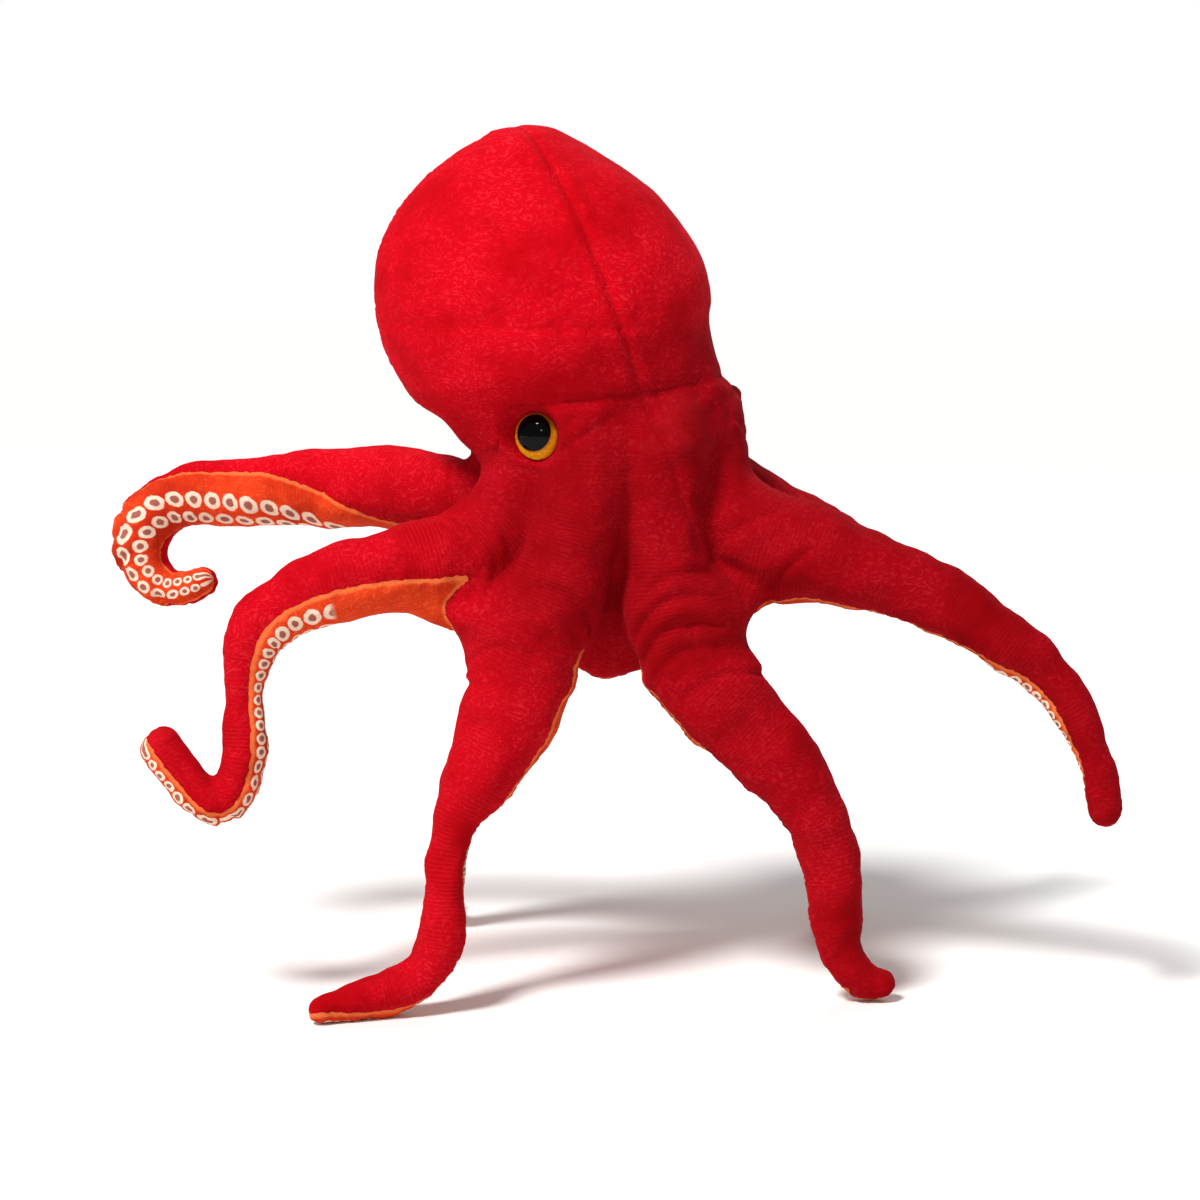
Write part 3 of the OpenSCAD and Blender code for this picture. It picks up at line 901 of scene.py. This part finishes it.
def fold_depth(reading, points):
    depth = np.zeros(len(points))
    for number, length, towards, slant, deep, wide in FOLDS:
        arm = arms[number - 1]
        from_fold = reading.length - length * MM
        here = np.flatnonzero((reading.arm == number - 1) & (abs(from_fold) < FOLD_REACH))
        towards = unit(np.array(towards, dtype=float))
        _, where, share = nearest_on(arm.line, points[here])
        off = points[here] - along(arm.line, where, share)
        ahead = along(arm.ahead, where, share)
        facing = (unit(off) * towards).sum(axis=1)
        aside = (off * np.cross(ahead, towards)).sum(axis=1)
        gap = from_fold[here] - slant * aside - FOLD_BOW * aside * aside / arm.radius[arm.first]
        shape = groove(gap, wide * MM)
        for beside in (-FOLD_BESIDE, FOLD_BESIDE):
            shape -= FOLD_SWELL * groove(gap + beside * wide * MM, FOLD_SPREAD * wide * MM)
        window = between(facing, *FOLD_FACING) * between(reading.apart[here], 0, FOLD_CLEAR)
        depth[here] += deep * MM * shape * window
    return depth


def bend_creases(reading):
    """Short creases on the inside of each arm's bend."""
    depth = np.zeros(len(reading.length))
    for i, arm in enumerate(arms):
        here = np.flatnonzero((reading.arm == i) & (reading.length > 0))
        length, turn = reading.length[here], reading.turn[here]
        inner = between(-np.cos(turn - arm.inside), *CREASE_INNER)
        tight = np.interp(length, arm.length, arm.tight)
        wave = np.sin(2 * np.pi * length / CREASE_PITCH + CREASE_SWAY * np.cos(2 * turn) + i)
        depth[here] += CREASE_DEPTH * tight * inner * between(wave, *CREASE_SHARE)
    return depth


def relief(reading, points):
    """How far each point of the skin stands out from the plain form."""
    out = np.zeros(len(points))
    on_mantle = between(reading.mantle, *ON_MANTLE)
    for noise, height in LUMP_NOISES:
        out += height * noise(points) * (1 - MANTLE_CALM * on_mantle)
    sway = PUCKER_SWAY * LUMP_NOISES[-1][0](points)
    pucker = 0.5 + 0.5 * np.sin(2 * np.pi * reading.length / PUCKER_PITCH + sway)
    out -= SEAM_DEPTH * groove(reading.side, SEAM_WIDTH) * (SEAM_LEAST + SEAM_PUCKER * pucker)
    out -= PUCKER_DEPTH * pucker * groove(abs(reading.side) - PUCKER_OUT, PUCKER_SPREAD)
    mid = reading.mantle_mid
    crest = between(points[:, 2], MANTLE_CREST, MANTLE_CREST - CREST_FADE)
    out -= on_mantle * MANTLE_SEAM * (CREST_LEAST + (1 - CREST_LEAST) * crest) * groove(mid, MANTLE_SEAM_W)
    out += on_mantle * MANTLE_SWELL * crest * groove(abs(mid) - MANTLE_SWELL_OUT, MANTLE_SWELL_W)
    front = between(CROWN_AXIS[1] - points[:, 1], *CHIN_FRONT) * (1 - on_mantle)
    front *= between(points[:, 2], *CHIN_RISE)
    out -= front * CHIN_SEAM * groove((points - NECK) @ FACE_SIDE - CHIN_SHIFT, CHIN_SEAM_W)
    neck = between(reading.near - reading.mantle_gap, *NECK_SEAM_FADE)
    out -= neck * NECK_SEAM * groove(reading.neck_gap, NECK_SEAM_W)
    out -= fold_depth(reading, points) + face_creases(points)
    out -= bend_creases(reading)
    return out


def seat_eyes(points, deeper):
    """Presses the skin in under the rims of the eyes."""
    for eye in eyes:
        off = points - eye.seat
        out = off @ eye.out
        flat = np.linalg.norm(off - out[:, None] * eye.out, axis=1)
        allowed = EYE_SINK - deeper + np.maximum(flat - EYE_RIM * eye.radius, 0) * EYE_SLOPE
        fade = between(flat, EYE_CLEAR * eye.radius, EYE_REST * eye.radius) * (out > -2 * eye.radius)
        points = points - (fade * np.maximum(out - allowed, 0))[:, None] * eye.out
    return points


def dressed(points, triangles, columns, deeper=0.0):
    """The cut skin with its relief, and everything that its panels need."""
    points, triangles, on_side, values = cut_all(points, triangles, columns)
    plain = normals_of(points, triangles)
    reading = Reading(points, plain)
    reading.side = values[:, SIDE]
    points = seat_eyes(points + plain * relief(reading, points)[:, None], deeper)
    return points, triangles, on_side, reading


skin_points, skin_triangles, skin_sides, reading = dressed(points, triangles, range(6))
skin_normals = normals_of(skin_points, skin_triangles)
# the distance to the nearest seam, which places the painted shade in the seams and the painted highlight
# beside them
seam_gap = np.where(reading.mantle > 0, reading.mantle_mid, reading.side)
seam_gap = np.where((reading.neck_gap < abs(seam_gap)) & reading.at_neck, reading.neck_gap, seam_gap)
run_length = np.where(reading.mantle > 0, 0.0, reading.length)
# the run attribute carries the length along an arm, the nap's painted light and shade, and the distance to
# the nearest seam
reading_along = np.stack([run_length, reading.nap_shading, seam_gap], axis=1)
reading_print = np.stack([reading.girth, reading.turn, reading.near], axis=1)


# ---------------------------------------------------------------- materials

class Nodes:
    """A short way to build a material's nodes."""

    def __init__(self, name):
        self.material = bpy.data.materials.new(name)
        self.material.use_nodes = True
        self.tree = self.material.node_tree
        self.shader = self.tree.nodes["Principled BSDF"]

    def add(self, kind, inputs=(), **settings):
        node = self.tree.nodes.new("ShaderNode" + kind)
        for key, value in settings.items():
            setattr(node, key, value)
        for key, value in dict(inputs).items():
            self.join(value, node.inputs[key])
        return node

    def join(self, value, socket):
        if isinstance(value, bpy.types.NodeSocket):
            self.tree.links.new(value, socket)
        else:
            socket.default_value = value

    def math(self, operation, *values):
        return self.add("Math", enumerate(values), operation=operation).outputs[0]

    def product(self, a, b):
        return self.math("MULTIPLY", a, b)

    def total(self, a, b):
        return self.math("ADD", a, b)

    def less(self, a, b):
        return self.math("SUBTRACT", a, b)

    def far(self, x, y):
        """How far a place is from the middle of a flat picture."""
        return self.math("SQRT", self.total(self.math("POWER", x, 2.0), self.math("POWER", y, 2.0)))

    def vector(self, operation, a, b):
        return self.add("VectorMath", {0: a, 1: b}, operation=operation).outputs[0]

    def attribute(self, name):
        return self.add("Attribute", attribute_name=name).outputs["Vector"]

    def split(self, name):
        """The three numbers that an attribute holds."""
        return self.add("SeparateXYZ", {0: self.attribute(name)}).outputs

    def noise(self, place, scale, detail=3, roughness=0.55):
        inputs = {"Vector": place, "Scale": scale, "Detail": detail, "Roughness": roughness}
        return self.add("TexNoise", inputs).outputs[0]

    def ramp(self, value, low, high):
        """0 below low and 1 above high, smooth between."""
        inputs = {"Value": value, "From Min": low, "From Max": high}
        return self.add("MapRange", inputs, interpolation_type="SMOOTHSTEP").outputs[0]

    def mix(self, share, a, b):
        node = self.add("Mix", {0: share, 6: a, 7: b}, data_type="RGBA")
        return node.outputs[2]

    def shade(self, **inputs):
        for key, value in inputs.items():
            self.join(value, self.shader.inputs[key.replace("_", " ")])

    def bump(self, height, distance, strength):
        inputs = {"Height": height, "Distance": distance, "Strength": strength}
        self.join(self.add("Bump", inputs).outputs[0], self.shader.inputs["Normal"])


def rgb(r, g, b):
    return (r, g, b, 1.0)


# the pile's tones: a deep and a middle tone that vary at random in patches, and a light tone for painted
# sheen highlights on the crushed pile and the ribs
REDS = rgb(0.44, 0.0006, 0.004), rgb(0.55, 0.001, 0.008), rgb(0.80, 0.022, 0.034)
ORANGES = rgb(0.46, 0.018, 0.005), rgb(0.74, 0.045, 0.010), rgb(0.90, 0.14, 0.04)
# painted shade for the grooves of the seams
SEAM_SHADE = rgb(0.12, 0.0005, 0.001)
# painted highlight along the orange side of the side seams
SEAM_EDGE_HIGHLIGHT = rgb(0.86, 0.22, 0.06)
CREAM, PRINT_DARK = rgb(0.88, 0.66, 0.50), rgb(0.26, 0.012, 0.006)
FIBRES = rgb(0.72, 0.70, 0.66), rgb(0.93, 0.92, 0.90)
AMBERS = rgb(0.66, 0.25, 0.004), rgb(0.90, 0.44, 0.014)
AMBER_EDGE, PUPIL = rgb(0.42, 0.12, 0.003), rgb(0.001, 0.001, 0.001)
WASHERS = rgb(0.66, 0.66, 0.64), rgb(0.82, 0.82, 0.80)

# noises: scale, detail and roughness
PATCHES, CRUSH, GRAIN, DRIFTS = (26, 4, 0.6), (430, 2, 0.6), (1500, 2), (60, 2)
RIB_SWAY, RIB_PATCHES, RAGS = (55, 2), (30, 2), (420, 3)
TUFTS, STREAKS, WASHER_GRAIN = (90, 5, 0.7), (700, 3), (900, 3)
# the values of a noise or wave from which a tone starts and is full
TONE_RAMP, MARK_RAMP, CRUSH_RAMP = (0.30, 0.60), (0.30, 0.70), (0.50, 0.66)
RIBBED_RAMP, RIB_RAMP, MIXED_RAMP = (0.42, 0.62), (-0.2, 1.0), (0.3, 0.7)
CRUSH_HEIGHT, GRAIN_HEIGHT, RIB_HEIGHT = 0.6, 0.25, 0.10
PILE_BUMP, FIBRE_BUMP, WASHER_BUMP = (0.0009, 0.6), (0.003, 0.8), (0.0002, 0.5)     # height, strength
DRIFT = (0.016, 0.016, 0.016)       # how far the brushed marks wander
BRUSH = (1, 1, 2.0)                 # the marks are shorter upwards
RIB_PITCH = 0.0021
RIB_WOBBLE = 9.0
MARK_SHARE, RIB_SHEEN_SHARE, SEAM_SHADE_SHARE = 0.60, 0.16, 0.22
SEAM_LINE = (0.0001, 0.0013)        # from the middle of a seam's painted shade to its edge
SEAM_EDGE_HIGHLIGHT_LINE = (-0.0030, -0.0012)
SEAM_EDGE_HIGHLIGHT_SHARE, DARK_SHARE = 0.6, 0.85
RING_PITCH = 0.60                   # along an arm, in arm radii
RING_ROW = 0.34                     # angle of each row from the middle of the underside
RING_EDGE, HOLE_EDGE = (0.245, 0.285), (0.11, 0.15)
RING_RAGGED = 0.09
PRINT_STARTS = (0.062, 0.066)       # the print fades in between these lengths along an arm
PUPIL_X, PUPIL_Y, PUPIL_R = 0.04, 0.17, 0.77
PUPIL_EDGE = 0.02
AMBER_FADE = 0.16


def pile(nodes, tones, rib_share, nap_shading_share):
    """Short velvet pile: brushed patches, fine grain and faint ribs of the knit under it, with painted sheen
    highlights, the nap's painted light and shade, and painted shade in the seams.
    """
    deep, middle, painted_sheen = tones
    place = nodes.attribute("place")
    length, nap_shading, seam_gap = nodes.split("run")
    patches = nodes.noise(place, *PATCHES)
    drift = {"Vector": place, "Scale": DRIFTS[0], "Detail": DRIFTS[1]}
    drift = nodes.add("TexNoise", drift).outputs["Color"]
    brushed = nodes.vector("ADD", place, nodes.vector("MULTIPLY", drift, DRIFT))
    crush = nodes.noise(nodes.vector("MULTIPLY", brushed, BRUSH), *CRUSH)
    grain = nodes.noise(place, *GRAIN)
    wobble = nodes.product(nodes.noise(place, *RIB_SWAY), RIB_WOBBLE)
    turns = nodes.total(nodes.product(length, 2 * math.pi / RIB_PITCH), wobble)
    ribbed = nodes.ramp(nodes.noise(place, *RIB_PATCHES), *RIBBED_RAMP)
    ribs = nodes.product(nodes.ramp(nodes.math("SINE", turns), *RIB_RAMP), ribbed)
    ribs = nodes.product(ribs, rib_share)
    marks = nodes.product(nodes.ramp(crush, *CRUSH_RAMP), nodes.ramp(patches, *MARK_RAMP))
    colour = nodes.mix(nodes.ramp(patches, *TONE_RAMP), deep, middle)
    # painted sheen highlights: the crushed marks and the ribs are mixed towards the light tone
    colour = nodes.mix(nodes.product(marks, MARK_SHARE), colour, painted_sheen)
    colour = nodes.mix(nodes.product(ribs, RIB_SHEEN_SHARE), colour, painted_sheen)
    # the nap's painted light and shade scale the pile's colour
    nap_shading = nodes.math("MULTIPLY_ADD", nap_shading, nap_shading_share, 1 - nap_shading_share)
    colour = nodes.add("VectorMath", {0: colour, "Scale": nap_shading}, operation="SCALE").outputs[0]
    # painted shade: the pile darkens towards the middle of each seam's groove
    seam = nodes.less(1.0, nodes.ramp(nodes.math("ABSOLUTE", seam_gap), *SEAM_LINE))
    colour = nodes.mix(nodes.product(seam, SEAM_SHADE_SHARE), colour, SEAM_SHADE)
    height = nodes.total(nodes.product(crush, CRUSH_HEIGHT), nodes.product(grain, GRAIN_HEIGHT))
    nodes.bump(nodes.total(height, nodes.product(ribs, RIB_HEIGHT)), *PILE_BUMP)
    nodes.shade(Roughness=0.9, Specular_IOR_Level=0.04, Sheen_Weight=0.16, Sheen_Roughness=0.4)
    return colour, length, seam_gap


def red_velvet():
    nodes = Nodes("red_velvet")
    colour, _, _ = pile(nodes, REDS, 1.0, 1.0)
    nodes.shade(Base_Color=colour, Sheen_Tint=rgb(1.0, 0.03, 0.08))
    return nodes.material


def sucker_print():
    """Orange pile with a painted highlight along the seam's edge and two rows of cream rings along each arm.
    """
    nodes = Nodes("sucker_print")
    colour, length, seam_gap = pile(nodes, ORANGES, 0.5, 0.5)
    # painted highlight: a lighter band just on the orange side of the seam
    colour = nodes.mix(nodes.product(nodes.ramp(seam_gap, *SEAM_EDGE_HIGHLIGHT_LINE), SEAM_EDGE_HIGHLIGHT_SHARE), colour, SEAM_EDGE_HIGHLIGHT)
    printed = nodes.ramp(length, *PRINT_STARTS)
    run, turn, _ = nodes.split("print")
    ragged = nodes.less(nodes.noise(nodes.attribute("place"), *RAGS), 0.5)
    ragged = nodes.product(ragged, RING_RAGGED)
    stagger = nodes.product(nodes.math("GREATER_THAN", turn, 0.0), 0.5)
    cell = nodes.math("FRACT", nodes.total(nodes.math("DIVIDE", run, RING_PITCH), stagger))
    along_arm = nodes.product(nodes.less(cell, 0.5), RING_PITCH)
    round_arm = nodes.less(nodes.math("ABSOLUTE", turn), RING_ROW)
    far = nodes.total(nodes.far(along_arm, round_arm), ragged)
    for edge, tone, share in ((RING_EDGE, CREAM, 1.0), (HOLE_EDGE, PRINT_DARK, DARK_SHARE)):
        shape = nodes.product(nodes.less(1.0, nodes.ramp(far, *edge)), printed)
        colour = nodes.mix(nodes.product(shape, share), colour, tone)
    nodes.shade(Base_Color=colour, Sheen_Tint=rgb(1.0, 0.45, 0.22))
    return nodes.material


def stuffing():
    nodes = Nodes("stuffing")
    tufts = nodes.noise(nodes.attribute("place"), *TUFTS)
    colour = nodes.mix(nodes.ramp(tufts, *MIXED_RAMP), *FIBRES)
    nodes.shade(Base_Color=colour, Roughness=0.95)
    nodes.bump(tufts, *FIBRE_BUMP)
    return nodes.material


def eye_plastic():
    """An amber ring with a large black pupil, under a clear gloss."""
    nodes = Nodes("eye_plastic")
    across, up, _ = nodes.split("eye")
    far = nodes.far(nodes.less(across, PUPIL_X), nodes.less(up, PUPIL_Y))
    streaks = nodes.noise(nodes.attribute("place"), *STREAKS)
    amber = nodes.mix(nodes.ramp(streaks, *MIXED_RAMP), *AMBERS)
    amber = nodes.mix(nodes.ramp(nodes.less(far, PUPIL_R), 0.0, AMBER_FADE), AMBER_EDGE, amber)
    colour = nodes.mix(nodes.ramp(far, PUPIL_R - PUPIL_EDGE, PUPIL_R + PUPIL_EDGE), PUPIL, amber)
    nodes.shade(Base_Color=colour, Roughness=0.3, Specular_IOR_Level=0.0)
    nodes.shade(Coat_Weight=0.25, Coat_Roughness=0.03)
    return nodes.material


def washer_plastic():
    nodes = Nodes("washer_plastic")
    grain = nodes.noise(nodes.add("TexCoord").outputs["Object"], *WASHER_GRAIN)
    nodes.shade(Base_Color=nodes.mix(grain, *WASHERS), Roughness=0.42)
    nodes.bump(grain, *WASHER_BUMP)
    return nodes.material


MAKERS = (red_velvet, sucker_print, stuffing, eye_plastic, washer_plastic)
MATERIALS = {make.__name__: make() for make in MAKERS}


# ---------------------------------------------------------------- pieces

NODE_PART = {"near": "root", "tip": "tip"}      # CAD parts of an arm by the region of skin over them


def make_mesh(name, points, faces, normals=None, **attributes):
    mesh = bpy.data.meshes.new(name)
    mesh.from_pydata(points.tolist(), [], faces.tolist())
    for key, values in attributes.items():
        made = mesh.attributes.new(key, "FLOAT_VECTOR", "POINT")
        made.data.foreach_set("vector", np.ascontiguousarray(values, dtype=np.float32).ravel())
    mesh.shade_smooth()
    if normals is not None:
        mesh.normals_split_custom_set_from_vertices(normals.tolist())
    obj = bpy.data.objects.new(name, mesh)
    bpy.context.collection.objects.link(obj)
    return obj


def dress(obj, material):
    obj.data.materials.append(MATERIALS[material])


def bend_over(obj, kind, arm):
    """Attaches a crown or tip piece to its body, and bakes the transform of the other pieces into their
    points.
    """
    if kind == "crown":
        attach(obj, "crown")
    elif kind == "mantle":
        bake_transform(obj)
    elif kind == "near":
        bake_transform(obj)
    elif kind == "mid":
        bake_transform(obj)
    else:
        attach(obj, f"arm_{arm.number}_tip")


def padded_piece(region, kept, what, part, material, points, triangles, normals, **attributes):
    """A padded piece from some triangles of a whole, with the whole's normals, for one CAD part."""
    kind, arm, chosen = region
    if not (chosen & kept).any():
        return
    used, back = np.unique(triangles[chosen & kept], return_inverse=True)
    base = kind if arm is None else f"arm_{arm.number}_{kind}"
    carried = {key: values[used] for key, values in attributes.items()}
    obj = make_mesh(f"{base}_{what}", points[used], back.reshape(-1, 3), normals[used], **carried)
    dress(obj, material)
    bend_over(obj, kind, arm)
    if arm is None:
        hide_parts(f"{kind}_{part}")
    elif kind in NODE_PART:
        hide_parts(f"arm_{arm.number}_{NODE_PART[kind]}_{part}")


def regions(sides, triangles, reading):
    """Which triangles belong to each region: (kind, arm, chosen)."""
    # a triangle belongs to the arm that most of its corners are nearest to
    a, b, c = (reading.arm[triangles[:, i]] for i in range(3))
    owner = np.where(b == c, b, a)
    on_mantle = sides[:, MANTLE]
    on_arm = ~on_mantle & sides[:, ARM_REGION]
    found = [("mantle", None, on_mantle), ("crown", None, ~on_mantle & ~on_arm)]
    for i, arm in enumerate(arms):
        own = on_arm & (owner == i)
        found.append(("near", arm, own & ~sides[:, MID_START]))
        found.append(("mid", arm, own & sides[:, MID_START] & ~sides[:, MID_END]))
        found.append(("tip", arm, own & sides[:, MID_END]))
    return found


for region in regions(skin_sides, skin_triangles, reading):
    if region[0] == "mantle":
        right = skin_sides[:, MANTLE_MID]
        panels = [("left", ~right, "red_velvet"), ("right", right, "red_velvet")]
    else:
        top = skin_sides[:, SIDE]
        panels = [("top", top, "red_velvet"), ("under", ~top, "sucker_print")]
    for half, kept, material in panels:
        padded_piece(region, kept, f"{half}_skin", half, material, skin_points, skin_triangles,
                     skin_normals, place=skin_points, run=reading_along, print=reading_print)


# ---------------------------------------------------------------- stuffing

inner = fill_field(FILL_STEP)
inner.values += FILL_INSET
fill_points, fill_quads = surface(inner)
fill_points, fill_triangles, fill_sides, fill_reading = dressed(
    fill_points, two_halves(fill_points, fill_quads), (MANTLE, ARM_REGION, MID_START, MID_END), FILL_INSET)
tufts = TUFT * (Noise(9 * MM, 5)(fill_points) - 1)
fill_points = fill_points + normals_of(fill_points, fill_triangles) * tufts[:, None]
fill_normals = normals_of(fill_points, fill_triangles)
for region in regions(fill_sides, fill_triangles, fill_reading):
    padded_piece(region, np.ones(len(fill_triangles), dtype=bool), "stuffing", "fill", "stuffing",
                 fill_points, fill_triangles, fill_normals, place=fill_points)


# ---------------------------------------------------------------- eyes

# a moulded eye from its dome over its rolled rim to its post: share of its radius, and out in mm
EYE_PROFILE = [(0, 6.4), (0.18, 6.3), (0.36, 5.95), (0.54, 5.25), (0.70, 4.2), (0.83, 2.9), (0.93, 1.6),
               (0.985, 0.4), (1.0, -0.6), (0.985, -1.3), (0.93, -1.8), (0.8, -2.0), (0.24, -2.0),
               (0.2, -9.0), (0, -9.0)]
EYE_TURNS = np.radians(np.arange(0, 360, 7.5))


def eye_piece(eye):
    flat = [(share * math.cos(t), share * math.sin(t), out) for share, out in EYE_PROFILE for t in EYE_TURNS]
    places = np.array([eye.front(x * eye.radius, y * eye.radius, out * MM) for x, y, out in flat])
    n = len(EYE_TURNS)
    faces = [(i * n + j, (i + 1) * n + j, (i + 1) * n + (j + 1) % n, i * n + (j + 1) % n)
             for i in range(len(EYE_PROFILE) - 1) for j in range(n)]
    return make_mesh(f"eye_{eye.side}_moulding", places, np.array(faces), place=places, eye=flat)


for eye in eyes:
    obj = eye_piece(eye)
    dress(obj, "eye_plastic")
    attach(obj, "crown")
    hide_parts(f"eye_{eye.side}")
    washer = frame["nodes"][f"washer_{eye.side}"]
    washer.data.materials.clear()
    washer.data.materials.append(MATERIALS["washer_plastic"])


# ---------------------------------------------------------------- stage, camera and light

TARGET = np.array([-2.1, -36, 203.1]) * MM
DISTANCE = 1.8
ELEVATION = math.radians(8)
LENS, SENSOR = 103.8, 36
MIDDLE = Vector((0, 0, 0.24))
SKY_LIGHT, SKY_SEEN = 0.25, 1.0                 # the white sky as a light, and as the camera sees it
FLOOR_HALF = 6


def aimed_light(name, kind, place, energy, **settings):
    """A light that shines from a place towards the middle of the object."""
    data = bpy.data.lights.new(name, kind)
    data.energy = energy
    for key, value in settings.items():
        setattr(data, key, value)
    light = bpy.data.objects.new(name, data)
    bpy.context.collection.objects.link(light)
    light.location = place
    light.rotation_euler = (MIDDLE - Vector(place)).to_track_quat("-Z", "Y").to_euler()


camera_data = bpy.data.cameras.new("camera")
camera_data.lens = LENS
camera_data.sensor_width = SENSOR
camera = bpy.data.objects.new("camera", camera_data)
bpy.context.collection.objects.link(camera)
camera.location = TARGET + DISTANCE * np.array([0, -math.cos(ELEVATION), math.sin(ELEVATION)])
camera.rotation_euler = (math.radians(90) - ELEVATION, 0, 0)
bpy.context.scene.camera = camera

aimed_light("key", "SUN", (-0.9, -1.15, 2.1), 3.7, angle=math.radians(14))
aimed_light("catch", "AREA", (-0.35, -1.6, 0.9), 1.6, size=0.2)
aimed_light("rim", "AREA", (0.4, 1.4, 1.5), 10, size=1.0)

world = bpy.data.worlds.new("world")
world.use_nodes = True
sky = world.node_tree.nodes["Background"]
sky.inputs["Color"].default_value = (1, 1, 1, 1)
seen = world.node_tree.nodes.new("ShaderNodeLightPath").outputs["Is Camera Ray"]
strength = world.node_tree.nodes.new("ShaderNodeMapRange")
strength.inputs["To Min"].default_value = SKY_LIGHT
strength.inputs["To Max"].default_value = SKY_SEEN
world.node_tree.links.new(seen, strength.inputs["Value"])
world.node_tree.links.new(strength.outputs[0], sky.inputs["Strength"])
bpy.context.scene.world = world

pale = Nodes("pale_floor")
pale.shade(Base_Color=rgb(0.9, 0.89, 0.87), Roughness=0.9)
floor_corners = FLOOR_HALF * np.array([(-1, -1, 0), (1, -1, 0), (1, 1, 0), (-1, 1, 0)])
floor = make_mesh("floor", floor_corners, np.array([(0, 1, 2, 3)]))
floor.data.materials.append(pale.material)
bpy.context.scene.view_settings.view_transform = "Standard"
